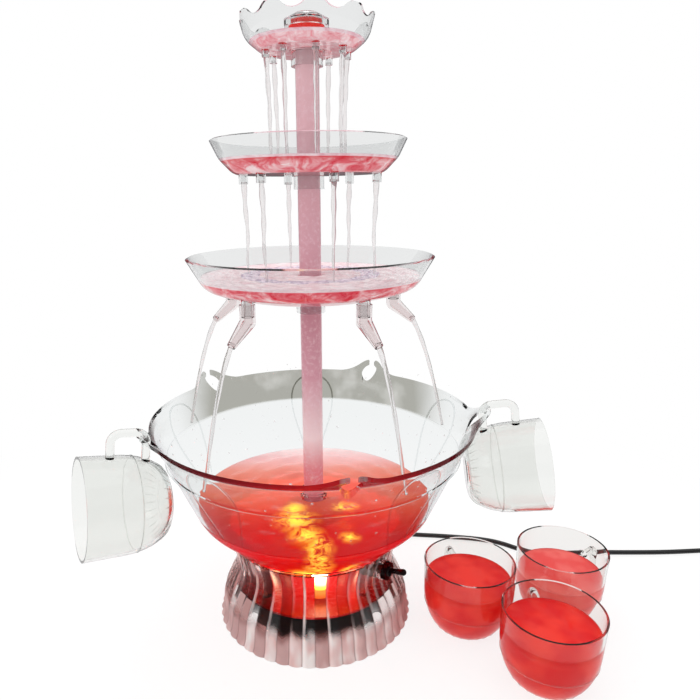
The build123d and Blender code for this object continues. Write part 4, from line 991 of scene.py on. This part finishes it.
@dataclass
class Studio:
    """Camera at the photograph's place, white surroundings, soft light and a pale floor, in metres."""

    eye: tuple = (0.00343, -0.50556, 0.38132)
    pitch_deg: float = 72.03
    roll_deg: float = -0.765
    lens_mm: float = 31.149
    sensor_mm: float = 36.0
    shift: Pair = (0.0485, 0.0578)
    clip_start: float = 0.01
    bounces: int = 32
    clear_bounces: int = 24
    fill: float = 0.8
    lights_at: tuple = (("overhead light", (0.0, 0.2, 1.7), 1.4), ("left light", (-1.3, -0.8, 1.0), 0.9))
    light_watts: float = 5.0
    aim: tuple = (0.0, 0.0, 0.2)
    floor_half: float = 4.0
    floor_height: float = -0.0003
    floor_fade: Pair = (0.22, 0.6)
    floor_grey: float = 0.22
    floor_lift: float = 0.82
    bounce_grey: float = 0.8
    wall_profile: tuple = ((1.6, -0.1), (1.6, 0.95))
    wall_columns: int = 96
    wall_paint: str = "#6A6A6C"

    def camera(self) -> None:
        """Camera turned about X by the pitch after a roll about its own axis."""
        data = bpy.data.cameras.new("camera")
        data.lens, data.sensor_width, data.sensor_fit = self.lens_mm, self.sensor_mm, "HORIZONTAL"
        data.shift_x, data.shift_y = self.shift
        data.clip_start = self.clip_start
        camera = add_object("camera", data)
        pitch, roll = (Matrix.Rotation(math.radians(degrees), 4, axis)
                       for degrees, axis in ((self.pitch_deg, "X"), (self.roll_deg, "Z")))
        camera.matrix_world = Matrix.Translation(self.eye) @ pitch @ roll
        bpy.context.scene.camera = camera

    def seen(self, tree: bpy.types.NodeTree) -> Socket:
        """One for a camera, glossy or transmission ray, so that glass and metal show the white too."""
        ray = add_node(tree, "ShaderNodeLightPath").outputs
        first = add_node(tree, "ShaderNodeMath", {0: ray["Is Camera Ray"], 1: ray["Is Glossy Ray"]},
                         operation="MAXIMUM").outputs[0]
        return add_node(tree, "ShaderNodeMath", {0: first, 1: ray["Is Transmission Ray"]},
                        operation="MAXIMUM").outputs[0]

    def world(self) -> None:
        """White background for what is seen, and an even fill for what is lit."""
        world = bpy.data.worlds.new("white surroundings")
        bpy.context.scene.world = world
        world.use_nodes = True
        tree = world.node_tree
        tree.nodes.clear()
        fill, white = (add_node(tree, "ShaderNodeBackground",
                                {"Color": WHITE, "Strength": strength}).outputs[0]
                       for strength in (self.fill, 1.0))
        both = add_node(tree, "ShaderNodeMixShader", {0: self.seen(tree), 1: fill, 2: white})
        add_node(tree, "ShaderNodeOutputWorld", {"Surface": both.outputs[0]})

    def lights(self) -> None:
        """One broad light from above and one from the left."""
        for name, place, size in self.lights_at:
            data = bpy.data.lights.new(name, "AREA")
            data.energy, data.size = self.light_watts, size
            light = add_object(name, data)
            light.location = place
            light.rotation_euler = (Vector(self.aim) - Vector(place)).to_track_quat("-Z", "Y").to_euler()

    def floor(self) -> None:
        """Pale floor that keeps a faint shadow near the object and fades to the background's white."""
        material = blank_material("pale floor")
        tree = material.node_tree
        place = add_node(tree, "ShaderNodeTexCoord").outputs["Object"]
        away = add_node(tree, "ShaderNodeVectorMath", {0: place}, operation="LENGTH").outputs["Value"]
        far = add_node(tree, "ShaderNodeMapRange",
                       {"Value": away, "From Min": self.floor_fade[0], "From Max": self.floor_fade[1]},
                       interpolation_type="SMOOTHSTEP").outputs["Result"]
        matt, plain = (add_node(tree, "ShaderNodeBsdfDiffuse", {"Color": (grey, grey, grey, 1.0)}).outputs[0]
                       for grey in (self.floor_grey, self.bounce_grey))
        lift, white = (add_node(tree, "ShaderNodeEmission", {"Strength": strength}).outputs[0]
                       for strength in (self.floor_lift, 1.0))
        near = add_node(tree, "ShaderNodeAddShader", {0: matt, 1: lift}).outputs[0]
        shown = add_node(tree, "ShaderNodeMixShader", {0: far, 1: near, 2: white}).outputs[0]
        both = add_node(tree, "ShaderNodeMixShader", {0: self.seen(tree), 1: plain, 2: shown}).outputs[0]
        add_node(tree, "ShaderNodeOutputMaterial", {"Surface": both})
        corners = np.array([(-1.0, -1.0, 0.0), (1.0, -1.0, 0.0), (1.0, 1.0, 0.0), (-1.0, 1.0, 0.0)])
        points = corners * self.floor_half + (0.0, 0.0, self.floor_height)
        floor = add_mesh("floor", points, [(0, 1, 2, 3)], material)

    def grey_wall(self) -> None:
        """Grey wall all round that only reflections see, so that clear pieces get their grey edges."""
        material = blank_material("grey wall paint")
        tree = material.node_tree
        paint = add_node(tree, "ShaderNodeEmission", {"Color": linear(self.wall_paint), "Strength": 1.0})
        add_node(tree, "ShaderNodeOutputMaterial", {"Surface": paint.outputs[0]})
        points = turned_ring(np.array(self.wall_profile), self.wall_columns).reshape(-1, 3)
        faces = grid_faces(len(self.wall_profile), self.wall_columns, False)
        wall = add_mesh("grey wall", points, faces, material)
        wall.visible_camera = wall.visible_diffuse = wall.visible_shadow = wall.visible_transmission = False

    def build(self) -> None:
        """Sets the camera, light paths and surroundings."""
        scene = bpy.context.scene
        scene.view_settings.view_transform = "Standard"
        scene.cycles.max_bounces = scene.cycles.transmission_bounces = self.bounces
        scene.cycles.transparent_max_bounces = self.clear_bounces
        for step in (self.camera, self.world, self.lights, self.floor, self.grey_wall):
            step()


@dataclass
class MainsCord:
    """Black mains cord from the strain relief along the table to its coil and plug."""

    radius_mm: float = 2.5
    gland_deg: float = 75.0
    gland_height_mm: float = 11.4
    start_mm: float = 63.0
    drop_mm: float = 90.0
    land_mm: float = 113.0
    route_mm: tuple = ((42.0, 117.5), (66.0, 120.0), (92.0, 117.4), (117.5, 112.9), (144.8, 110.0),
                       (186.0, 103.2), (209.0, 94.8), (227.0, 79.8), (243.0, 72.9), (269.2, 71.8),
                       (313.2, 72.0), (345.0, 71.0), (387.0, 70.4))
    approach_mm: Pair = (430.0, 455.0)
    coil_start_mm: Pair = (470.0, 71.6)
    coil_radii_mm: tuple = (36.0, 33.2, 30.4, 27.6, 24.8, 22.0, 24.8, 27.6, 30.4, 33.2, 36.0)
    turn_points: int = 9
    climb: int = 5
    low_mm: float = 3.6
    high_mm: float = 9.2
    tail_mm: float = 27.0
    length: float = 1.554

    def points(self) -> np.ndarray:
        """Route, then half turns to either side: centre + r (cos t, sin t), rising in the climbing one."""
        heights = (self.gland_height_mm, self.gland_height_mm, self.radius_mm)
        away = np.array([self.start_mm, self.drop_mm, self.land_mm])
        out = placed(away, math.radians(self.gland_deg), heights)
        x, y = self.coil_start_mm
        points = [*out, *((*place, self.radius_mm) for place in self.route_mm),
                  *((near, y, self.low_mm) for near in self.approach_mm)]
        side, rise = 1.0, self.high_mm - self.low_mm
        angle = np.linspace(0.0, math.pi, self.turn_points, endpoint=False)
        for number, radius in enumerate(self.coil_radii_mm):
            climbs = number == self.climb
            height = self.low_mm if number <= self.climb else self.high_mm
            across = math.sqrt(radius ** 2 - (rise / 2.0) ** 2) if climbs else radius
            lift = rise * angle / math.pi * climbs
            points += zip(x + side * radius * np.sin(angle), y - side * across * (1.0 - np.cos(angle)),
                          height + lift)
            y -= side * 2.0 * across
            side = -side
        return np.array([*points, (x, y, self.high_mm), (x - self.tail_mm, y, self.high_mm)])

    def build(self, material: Material) -> None:
        """One smooth curve, which stands for the lead and the coil."""
        points = self.points() * MM
        data = bpy.data.curves.new("mains_cord", "CURVE")
        data.dimensions, data.bevel_depth, data.bevel_resolution = "3D", self.radius_mm * MM, 4
        data.use_fill_caps = True
        line = data.splines.new("NURBS")
        line.points.add(len(points) - 1)
        line.points.foreach_set("co", np.c_[points, np.ones(len(points))].ravel())
        line.order_u, line.use_endpoint_u, line.resolution_u = 3, True, 5
        data.materials.append(material)
        cord = add_object("mains_cord", data)
        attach(cord, Body.BASE.value)
        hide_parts("cord_lead", "cord_coil")
        LOG.info("mains_cord: %d points", len(points))


@dataclass(frozen=True)
class Ripples:
    """Rings round the axis and crossing waves on the top of a drink."""

    height_mm: float
    rings: float
    waves: tuple

    def lift(self, radius: np.ndarray, x: np.ndarray, y: np.ndarray) -> np.ndarray:
        """Height of h (sin k r + the sum of a sin(p x + q y + f)), with a, p, q and f of each wave."""
        crossing = sum(size * np.sin(p * x + q * y + phase) for size, p, q, phase in self.waves)
        return self.height_mm * (np.sin(self.rings * radius)[:, None] + crossing)


def drink_ring(name: str, side: np.ndarray, top: np.ndarray, core: np.ndarray, columns: int, lift: Ripples,
               fade: np.ndarray, material: Material) -> None:
    """Closed ring of drink: the line of the wall, a rippled top and the line of what stands in its middle.

    Args:
        name: piece's name.
        side: line of the wall as radius and height.
        top: line of the top, from the wall inwards.
        core: line back down to the start.
        columns: points round the axis.
        lift: ripples of the top.
        fade: share of the ripples at each point of the top.
        material: its finish.
    """
    profile = np.concatenate([side, top, core])
    points = turned_ring(profile, columns)
    rows = slice(len(side), len(side) + len(top))
    points[rows, :, 2] += fade[:, None] * lift.lift(top[:, 0], points[rows, :, 0], points[rows, :, 1])
    make_piece(name, points, grid_faces(len(profile), columns, True), material)


def level_line(edge: float, middle: float, count: int, level: float) -> np.ndarray:
    """Level line from the wall to the middle, as radius and height."""
    return np.stack([np.linspace(edge, middle, count), np.full(count, level)], 1)


@dataclass
class BowlFill:
    """Drink in the bowl, round the pump and the column."""

    outline_mm: tuple = ((0.0, 82.0), (77.5, 82.0), (106.0, 111.5), (139.5, 192.0), (156.5, 206.4))
    corner_radii_mm: tuple = (6.0, 34.0, 30.0)
    step_mm: float = 1.6
    floor_points: int = 20
    wall_mm: float = 2.6
    sink_mm: float = 0.35
    level_mm: float = 117.0
    edge_mm: float = 0.5
    pump_mm: float = 27.4
    neck_mm: float = 12.5
    shoulder_mm: float = 98.2
    neck_foot_mm: float = 106.6
    fade_mm: Pair = (14.0, 8.0)
    ripples: Ripples = Ripples(0.55, 0.32, ((0.7, 0.21, 0.13, 0.0), (0.6, -0.11, 0.3, 0.0)))
    top_points: int = 70
    columns: int = 192

    def inner(self, depth_mm: float) -> np.ndarray:
        """Line of the wall moved in by a depth, at an even step."""
        return moved_in(spread(filleted(self.outline_mm, self.corner_radii_mm), self.step_mm), depth_mm)

    def rise(self, depth_mm: float) -> np.ndarray:
        """The same line without its flat floor, so that each height comes once."""
        return self.inner(depth_mm)[self.floor_points:]

    def build(self, material: Material) -> None:
        """Ring of drink between the wall and the pump's outline."""
        depth = self.wall_mm - self.sink_mm
        wall, rise = self.inner(depth), self.rise(depth)
        edge = float(np.interp(self.level_mm, rise[:, 1], rise[:, 0]))
        side = wall[(wall[:, 0] > self.pump_mm) & (wall[:, 1] < self.level_mm - self.edge_mm)]
        top = level_line(edge, self.neck_mm, self.top_points, self.level_mm)
        core = np.array([[self.neck_mm, self.neck_foot_mm], [self.pump_mm, self.shoulder_mm],
                         [self.pump_mm, side[0, 1]]])
        fade = (np.clip((edge - top[:, 0]) / self.fade_mm[0], 0.0, 1.0)
                * np.clip((top[:, 0] - self.neck_mm) / self.fade_mm[1], 0.0, 1.0))
        drink_ring("bowl_drink", side, top, core, self.columns, self.ripples, fade, material)


@dataclass
class TrayFill:
    """Shallow drink in one tray, round its hub."""

    name: str
    outline_mm: tuple
    corner_radii_mm: tuple
    wall_mm: float
    level_mm: float
    ripple_mm: float = 0.35
    sink_mm: float = 1.0
    step_mm: float = 1.2
    edge_mm: float = 0.4
    hub_mm: float = 12.3
    fade_mm: float = 6.0
    rings: float = 0.9
    waves: tuple = ((0.8, 0.33, 0.2, 0.0), (0.7, -0.23, 0.4, 1.0))
    top_points: int = 56
    columns: int = 160

    def build(self, material: Material) -> None:
        """Ring of drink between the tray's line and its hub."""
        line = spread(filleted(self.outline_mm, self.corner_radii_mm), self.step_mm)
        wall = moved_in(line, self.wall_mm - self.sink_mm)
        rise = wall[len(wall) // 3:]
        edge = float(np.interp(self.level_mm, rise[:, 1], rise[:, 0]))
        side = wall[(wall[:, 0] > self.hub_mm) & (wall[:, 1] < self.level_mm - self.edge_mm)]
        top = level_line(edge, self.hub_mm, self.top_points, self.level_mm)
        fade = np.clip((edge - top[:, 0]) / self.fade_mm, 0.0, 1.0)
        drink_ring(self.name, side, top, np.empty((0, 2)), self.columns,
                   Ripples(self.ripple_mm, self.rings, self.waves), fade, material)


@dataclass
class ColumnFill:
    """Drink rising in the three tubes of the column."""

    runs_mm: tuple = (("lower_column_drink", 112.0, 297.0), ("middle_column_drink", 299.0, 395.0),
                      ("upper_column_drink", 397.0, 490.0))
    radius_mm: float = 7.65
    step_mm: float = 4.0
    sides: int = 32

    def build(self, material: Material) -> None:
        """Round rods inside the tubes, their radius unchanged, closed at both ends."""
        for name, low, high in self.runs_mm:
            path = placed(0.0, 0.0, np.linspace(low, high, int((high - low) / self.step_mm)))
            radius = np.full(len(path), self.radius_mm)
            make_piece(name, *tube(path, radius, np.array([0.0, 1.0, 0.0]), self.sides), material)


@dataclass
class CupFill:
    """Drink in one standing cup."""

    body: Body
    place_mm: Pair
    level_mm: float
    base_mm: float = 16.2
    belly_mm: float = 37.4
    lip_mm: float = 38.2
    round_mm: float = 40.0
    height_mm: float = 67.0
    floor_mm: float = 2.4
    sink_mm: float = 0.3
    axis_mm: float = 0.2
    meniscus_mm: Pair = (0.9, 1.4)
    fade_mm: float = 5.0
    ripples: Ripples = Ripples(0.25, 0.0, ((1.0, 0.25, 0.1, 0.0),))
    bulge_points: int = 24
    top_points: int = 26
    columns: int = 96

    def build(self, material: Material) -> None:
        """Closed fill: flat floor, a quarter ellipse up to the belly, a straight side and a meniscus."""
        turn = np.linspace(-math.pi / 2.0, 0.0, self.bulge_points)
        bulge = np.stack([self.base_mm + (self.belly_mm - self.base_mm) * np.cos(turn),
                          self.round_mm + (self.round_mm - self.floor_mm) * np.sin(turn)], 1)
        bulge = moved_in(bulge, -self.sink_mm)
        share = (self.level_mm - self.round_mm) / (self.height_mm - self.round_mm)
        edge = self.belly_mm + (self.lip_mm - self.belly_mm) * share + self.sink_mm
        top = level_line(edge, self.axis_mm, self.top_points, self.level_mm)
        top[:, 1] += self.meniscus_mm[0] * np.exp((top[:, 0] - edge) / self.meniscus_mm[1])
        profile = np.concatenate([[[self.axis_mm, bulge[0, 1]]], bulge, top])
        points = turned_ring(profile, self.columns)
        rows = slice(-len(top), None)
        fade = np.clip((edge - top[:, 0]) / self.fade_mm, 0.0, 1.0)[:, None]
        points[rows, :, 2] += fade * self.ripples.lift(top[:, 0], points[rows, :, 0], points[rows, :, 1])
        points[..., :2] += self.place_mm
        faces = capped_faces(len(profile), self.columns)
        make_piece(self.body.piece("_drink"), points, faces, material, self.body, "clear_cup")


@dataclass
class Streams:
    """Streams that fall from the stubs and spouts to the drink below.

    A row of streams has a name, a count, a first direction, radius and height of its start and end, its
    radii there, a sway and the phase between neighbours. A spout's stream is a parabola from its mouth.
    """

    rows: tuple = (("crown_streams", 8, 12.0, (31.0, 479.0), (29.0, 406.5), (1.9, 1.0), 0.5, 1.7),
                   ("middle_streams", 6, -10.0, (53.5, 391.0), (52.0, 318.2), (2.1, 0.75), 1.0, 2.1))
    points: int = 60
    soften: float = 0.02
    sway_turn: float = 9.0
    beads: Pair = (0.16, 23.0)
    spouts: int = 5
    first_deg: float = -57.5
    mouth_mm: Pair = (92.4, 275.1)
    run_mm: Pair = (-1.6, 34.5)
    slope: float = -1.583
    curve: float = -0.0413
    spout_radii_mm: Pair = (2.0, 1.1)
    spout_beads: Pair = (0.08, 0.7)
    spout_points: int = 70

    def fall(self, start: Pair, end: Pair, turn: float, radii: Pair, sway: float, phase: float) -> Mesh:
        """One stream from a radius and height to another.

        Its distance from the axis goes from start to end as the square root of the fall, with a slow sway,
        and the stream thins evenly.

        Args:
            start: radius and height of the mouth.
            end: radius and height where it lands.
            turn: direction in radians.
            radii: radius at the mouth and at the end.
            sway: width of the sway in millimetres.
            phase: start of the sway in radians.

        Returns:
            Points and faces.
        """
        along = np.linspace(0.0, 1.0, self.points)
        out = start[0] + (end[0] - start[0]) * np.sqrt((along + self.soften) / (1.0 + self.soften))
        out += sway * np.sin(self.sway_turn * along + phase) * along
        thin = radii[0] + (radii[1] - radii[0]) * along
        thin *= 1.0 + self.beads[0] * np.sin(self.beads[1] * along + 2.0 * phase)
        path = placed(out, turn, start[1] + (end[1] - start[1]) * along)
        return tube(path, thin, placed(1.0, turn + math.pi / 2.0, 0.0))

    def pour(self, turn: float, phase: float) -> Mesh:
        """Stream from one spout, by its direction and the phase of its beads."""
        run = np.linspace(*self.run_mm, self.spout_points)
        height = self.mouth_mm[1] + self.slope * run + self.curve * run * run
        thick, thin = self.spout_radii_mm
        radius = thick + (thin - thick) * np.clip(run / self.run_mm[1], 0.0, 1.0)
        radius *= 1.0 + self.spout_beads[0] * np.sin(self.spout_beads[1] * run + phase)
        path = placed(self.mouth_mm[0] + run, turn, height)
        return tube(path, radius, placed(1.0, turn + math.pi / 2.0, 0.0))

    def build(self, material: Material) -> None:
        """Streams from the crown tray, the middle tray and the spouts, one piece each."""
        for name, count, first, start, end, radii, sway, phase in self.rows:
            turns = math.radians(first) + full_turn(count)
            make_piece(name, *joined([self.fall(start, end, turn, radii, sway, phase * k)
                                      for k, turn in enumerate(turns)]), material)
        turns = math.radians(self.first_deg) + full_turn(self.spouts)
        make_piece("spout_streams", *joined([self.pour(turn, k) for k, turn in enumerate(turns)]), material)


@dataclass
class CapFill:
    """Drink that wells up under the outlet cap."""

    profile_mm: tuple = ((0.2, 493.6), (9.0, 493.6), (12.6, 496.2), (13.2, 498.4), (11.4, 501.6),
                         (6.0, 503.6), (0.2, 504.2))
    steps: int = 6
    columns: int = 48

    def build(self, material: Material) -> None:
        """Low dome: its smooth profile is carried round the axis and closed top and bottom."""
        profile = through(np.array(self.profile_mm), self.steps)
        faces = capped_faces(len(profile), self.columns)
        make_piece("cap_drink", turned_ring(profile, self.columns), faces, material)


@dataclass
class BowlRelief:
    """Five moulded petals on the bowl's outer wall."""

    first_deg: float = -53.5
    count: int = 5
    half_outline: tuple = ((0.0, 190.0), (5.5, 187.0), (9.0, 177.0), (10.0, 163.0), (8.8, 146.0),
                           (6.2, 128.0), (3.6, 112.0))
    radius_mm: float = 0.8
    taper_points: float = 8.0
    thin_share: float = 0.1
    steps: int = 10
    sides: int = 10
    wall_normal: Pair = (0.92, -0.39)

    def build(self, material: Material) -> None:
        """Fine bead on the wall along each petal, whose outline is degrees from its middle and height."""
        right = np.array(self.half_outline)
        degrees, height = through(np.concatenate([right[:0:-1] * (-1.0, 1.0), right]), self.steps).T
        line = BowlFill().rise(0.0)
        out = np.interp(height, line[:, 1], line[:, 0])
        number = np.arange(len(out))
        ends = np.minimum(number, number[::-1]) / self.taper_points
        taper = self.radius_mm * np.clip(ends, self.thin_share, 1.0)
        petals = []
        for first in self.first_deg + 360.0 / self.count * np.arange(self.count):
            turn = np.radians(first + degrees)
            path = placed(out, turn, height)
            tangent = units(np.gradient(path, axis=0))
            upright = placed(self.wall_normal[0], turn, self.wall_normal[1])
            upright = units(upright - tangent * np.sum(upright * tangent, axis=1)[:, None])
            petals.append(tube(path, taper, upright, self.sides))
        make_piece("bowl_petals", *joined(petals), material)


@dataclass
class Droplets:
    """Drops of drink on the bowl's inner wall and collar."""

    count: int = 300
    seed: int = 11
    height_mm: Pair = (124.0, 203.0)
    size_mm: Pair = (0.35, 1.15)
    small_power: float = 2.5
    flat: float = 0.55
    drawn: float = 1.25
    rows_deg: tuple = (90.0, 62.0, 32.0)
    sides: int = 8

    def build(self, material: Material) -> None:
        """Each drop is half a flattened ball: c + r (t cos a sin e + d u sin a sin e + f n cos e)."""
        pick = np.random.default_rng(self.seed)
        height = pick.uniform(*self.height_mm, self.count)
        turn = pick.uniform(0.0, FULL_TURN, self.count)
        small, large = self.size_mm
        size = small + (large - small) * pick.random(self.count) ** self.small_power
        line = BowlFill().rise(BowlFill().wall_mm)
        out = np.interp(height, line[:, 1], line[:, 0])
        tilt = np.interp(height, line[:, 1], np.arctan2(*np.gradient(line, axis=0).T))
        normal = placed(-np.cos(tilt), turn, np.sin(tilt))
        along = placed(np.sin(tilt), turn, np.cos(tilt))
        basis = np.stack([np.cross(normal, along), along, normal], 1)
        rows, ring = np.radians(self.rows_deg)[:, None], full_turn(self.sides)
        ball = placed(np.sin(rows), ring, self.flat * np.cos(rows)) * (1.0, self.drawn, 1.0)
        local = np.concatenate([ball.reshape(-1, 3), [[0.0, 0.0, self.flat]]])
        points = placed(out, turn, height)[:, None] + size[:, None, None] * (local @ basis)
        tip, last = len(local) - 1, len(local) - 1 - self.sides
        faces = grid_faces(len(rows), self.sides, False)
        faces += [[last + i, last + (i + 1) % self.sides, tip] for i in range(self.sides)]
        make_piece("bowl_drops", *joined([(drop, faces) for drop in points]), material)


@dataclass
class CupRelief:
    """Ring line and fluted foot moulded on one cup."""

    body: Body
    base_mm: tuple
    axis: tuple = (0.0, 0.0, 1.0)
    foot_mm: float = 18.0
    belly_mm: float = 39.2
    round_mm: float = 40.0
    ring_mm: float = 27.0
    bead_mm: float = 0.45
    ring_grid: tuple[int, int] = (8, 96)
    flutes: int = 26
    flute_mm: Pair = (1.2, 10.0)
    ridge_mm: float = 0.35
    ridge_turn: Pair = (0.15, math.pi - 0.05)
    ridge_points: int = 14
    ridge_sides: int = 8

    def outer(self, height: np.ndarray) -> np.ndarray:
        """Radius of the outer face: a quarter ellipse from the foot to the belly."""
        drop = np.clip((self.round_mm - height) / self.round_mm, 0.0, 1.0)
        return self.foot_mm + (self.belly_mm - self.foot_mm) * np.sqrt(1.0 - drop ** 2)

    def build(self, material: Material) -> None:
        """Bead round the cup and tapered ridges up from the foot, in the cup's own directions."""
        axis = np.array(self.axis)
        upright = np.array([0.0, 0.0, 1.0])
        stands = np.allclose(axis, upright)
        first = np.array([1.0, 0.0, 0.0]) if stands else units(np.cross(axis, upright)[None])[0]
        basis = np.stack([first, np.cross(axis, first), axis])
        bead = full_turn(self.ring_grid[0])
        profile = np.stack([self.outer(np.array(self.ring_mm)) + self.bead_mm * np.cos(bead),
                            self.ring_mm + self.bead_mm * np.sin(bead)], 1)
        parts = [(turned_ring(profile, self.ring_grid[1]).reshape(-1, 3), grid_faces(*self.ring_grid, True))]
        height = np.linspace(*self.flute_mm, self.ridge_points)
        thick = self.ridge_mm * np.sin(np.linspace(*self.ridge_turn, self.ridge_points))
        for turn in full_turn(self.flutes):
            path = placed(self.outer(height), turn, height)
            parts.append(tube(path, thick, placed(1.0, turn + math.pi / 2.0, 0.0), self.ridge_sides))
        points, faces = joined(parts)
        points = points @ basis + self.base_mm
        make_piece(self.body.piece("_flutes"), points, faces, material, self.body, "clear_cup")


@dataclass
class Cups:
    """Drink and relief of the three standing cups, and relief of the two that hang empty by their handles."""

    standing_mm: tuple = ((Body.CUP_NEAR, (189.0, -105.0), 49.0), (Body.CUP_MID, (139.0, -37.0), 49.0),
                          (Body.CUP_FAR, (229.5, -18.5), 42.0))
    hung_deg: tuple = ((Body.CUP_LEFT, 208.5), (Body.CUP_RIGHT, -7.5))
    lean_deg: float = 8.0
    seat_mm: Pair = (145.6, 208.0)
    handle_mm: Pair = (18.5, 59.0)

    def build(self, drinks: dict[Body, Material], wall: Material) -> None:
        """Fills and moulds each cup. A hung cup's base lies off its seat, along and square to its axis."""
        for body, place, level in self.standing_mm:
            CupFill(body, place, level).build(drinks[body])
            CupRelief(body, (*place, 0.0)).build(wall)
        lean = math.radians(self.lean_deg)
        back, under = self.handle_mm
        out = self.seat_mm[0] - back * math.cos(lean) + under * math.sin(lean)
        up = self.seat_mm[1] - back * math.sin(lean) - under * math.cos(lean)
        for body, degrees in self.hung_deg:
            turn = math.radians(degrees)
            base, axis = placed(out, turn, up), placed(math.cos(lean), turn, math.sin(lean))
            CupRelief(body, tuple(base), tuple(axis)).build(wall)


@dataclass
class DressedNodes:
    """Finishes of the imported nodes."""

    clear: tuple = ("pump_cover", "lower_tube", "large_tray", "middle_tube", "middle_tray", "upper_tube",
                    "crown_tray", "outlet_cap", "shaft_sleeve")
    spouts: tuple = ("spout_1", "spout_2", "spout_3", "spout_4", "spout_5")
    cups: tuple = ("cup_left", "cup_right", "cup_near", "cup_mid", "cup_far")
    gloss_black: tuple = ("motor_tub", "switch_nut", "switch_lever")
    matt_black: tuple = ("bottom_cover", "switch_body", "motor_bracket", "cord_tie", "plug_body")
    rubber: tuple = ("rubber_feet", "cord_gland")
    steel: tuple = ("deck_screws", "cover_screws", "motor_can", "motor_shaft")
    soft_clear: tuple = ("bowl_gasket", "shaft_seal")

    def build(self) -> dict[str, Material]:
        """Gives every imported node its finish, and returns the finishes by name."""
        groups = (
            (self.clear, ClearMoulding()),
            # Cups and spouts take their own colours of painted edge shade.
            (self.cups, ClearMoulding("clear cup polystyrene", "#F1F2F0", rim="#3E1E2B", wave_mm=18.0)),
            (("base_skirt",), FlutedSkirtMoulding()),
            (self.spouts, ClearMoulding("clear spout polystyrene", "#EDE6E6", "#A2999D", "#6E6468")),
            (("bowl",), BowlMoulding()),
            (self.gloss_black, OpaqueMoulding("black gloss ABS", "#100204", "#180608", 0.12, ior=1.18)),
            (("deck_plate",), DeckWithPaintedLampLight()),
            (self.matt_black, OpaqueMoulding("black moulded plastic", "#121213", "#1E1E20", 0.42)),
            (self.rubber, OpaqueMoulding("black rubber", "#161616", "#222222", 0.6)),
            (self.steel, BareMetal("drawn steel", "#A9ABAE", "#C6C8CA")),
            (self.soft_clear, ClearMoulding("clear silicone", "#F1F1EE", roughness=0.2)),
            (("impeller",), OpaqueMoulding("white moulded plastic", "#ECEBE6", "#F6F5F1", 0.35)),
            (("lamp_bulbs",), LitBulb()),
            # The sockets are no lamps: their amber light is painted lamp light from the bulbs
            (("lamp_sockets",), LitBulb("lit amber socket", "#FFC95A", "#F07A26", 1.3, 39.0, 49.0)),
            (("plug_pins",), BareMetal("brass pin", "#B8954E", "#D2B26A", 0.25)),
        )
        finishes = {}
        for names, finish in groups:
            material = finishes[finish.name] = finish.build()
            for name in names:
                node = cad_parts[name]
                node.data.materials.clear()
                node.data.materials.append(material)
                LOG.info("%s: %s", name, material.name)
        return finishes


def fill_trays() -> None:
    """Drink in the three trays, each with its own colours."""
    large = TrayDrink("drink churned in the large tray", 318.6, still="#D83040", top_pink="#E0C8CE",
                      top_foam="#F1ECEE", still_from=0.5, still_to=1.0, edge_mm=(86.0, 93.0), edge_share=0.5,
                      ring_mm=(42.0, 57.0))
    middle = TrayDrink("drink churned in the middle tray", 407.6, still_from=0.2, still_to=0.6)
    crown = TrayDrink("drink churned in the crown tray", 488.6, red="#E2808B", coral="#EFBEC3", grain_mm=9.0,
                      edge_mm=(40.0, 45.0))
    TrayFill("large_tray_drink", ((9.6, 297.0), (60.0, 301.6), (87.0, 309.5), (100.5, 333.0)), (60.0, 16.0),
             2.2, large.level_mm).build(large.build())
    TrayFill("middle_tray_drink", ((9.6, 395.0), (58.5, 396.0), (69.8, 407.5), (76.0, 420.5)), (12.0, 20.0),
             2.0, middle.level_mm, sink_mm=1.6).build(middle.build())
    TrayFill("crown_tray_drink", ((9.6, 482.0), (35.5, 482.3), (46.2, 490.5), (50.0, 504.5)), (8.0, 14.0),
             1.8, crown.level_mm, 0.3).build(crown.build())


def main() -> None:
    """Builds the studio, the cord, the finishes, the drink and the streams, and reports each."""
    logging.basicConfig(level=logging.INFO, format="%(name)s %(message)s")
    Studio().build()
    MainsCord().build(OpaqueMoulding("black PVC sheath", "#0C0C0D", "#161617", 0.36).build())
    finishes = DressedNodes().build()
    BowlFill().build(BowlDrink().build())
    fill_trays()
    ColumnFill().build(ColumnDrink().build())
    red = CupDrink().build()
    pale = CupDrink("pale red drink in the far cup", "#E8706A", "#DE4E4C", "#BE2A34", clear=0.5).build()
    drinks = {Body.CUP_NEAR: red, Body.CUP_MID: red, Body.CUP_FAR: pale}
    Cups().build(drinks, finishes["clear cup polystyrene"])
    CapFill().build(red)
    BowlRelief().build(finishes["clear polystyrene bowl"])
    falling = FallingWater().build()
    Streams().build(falling)
    Droplets().build(falling)


if __name__ == "__main__":
    main()
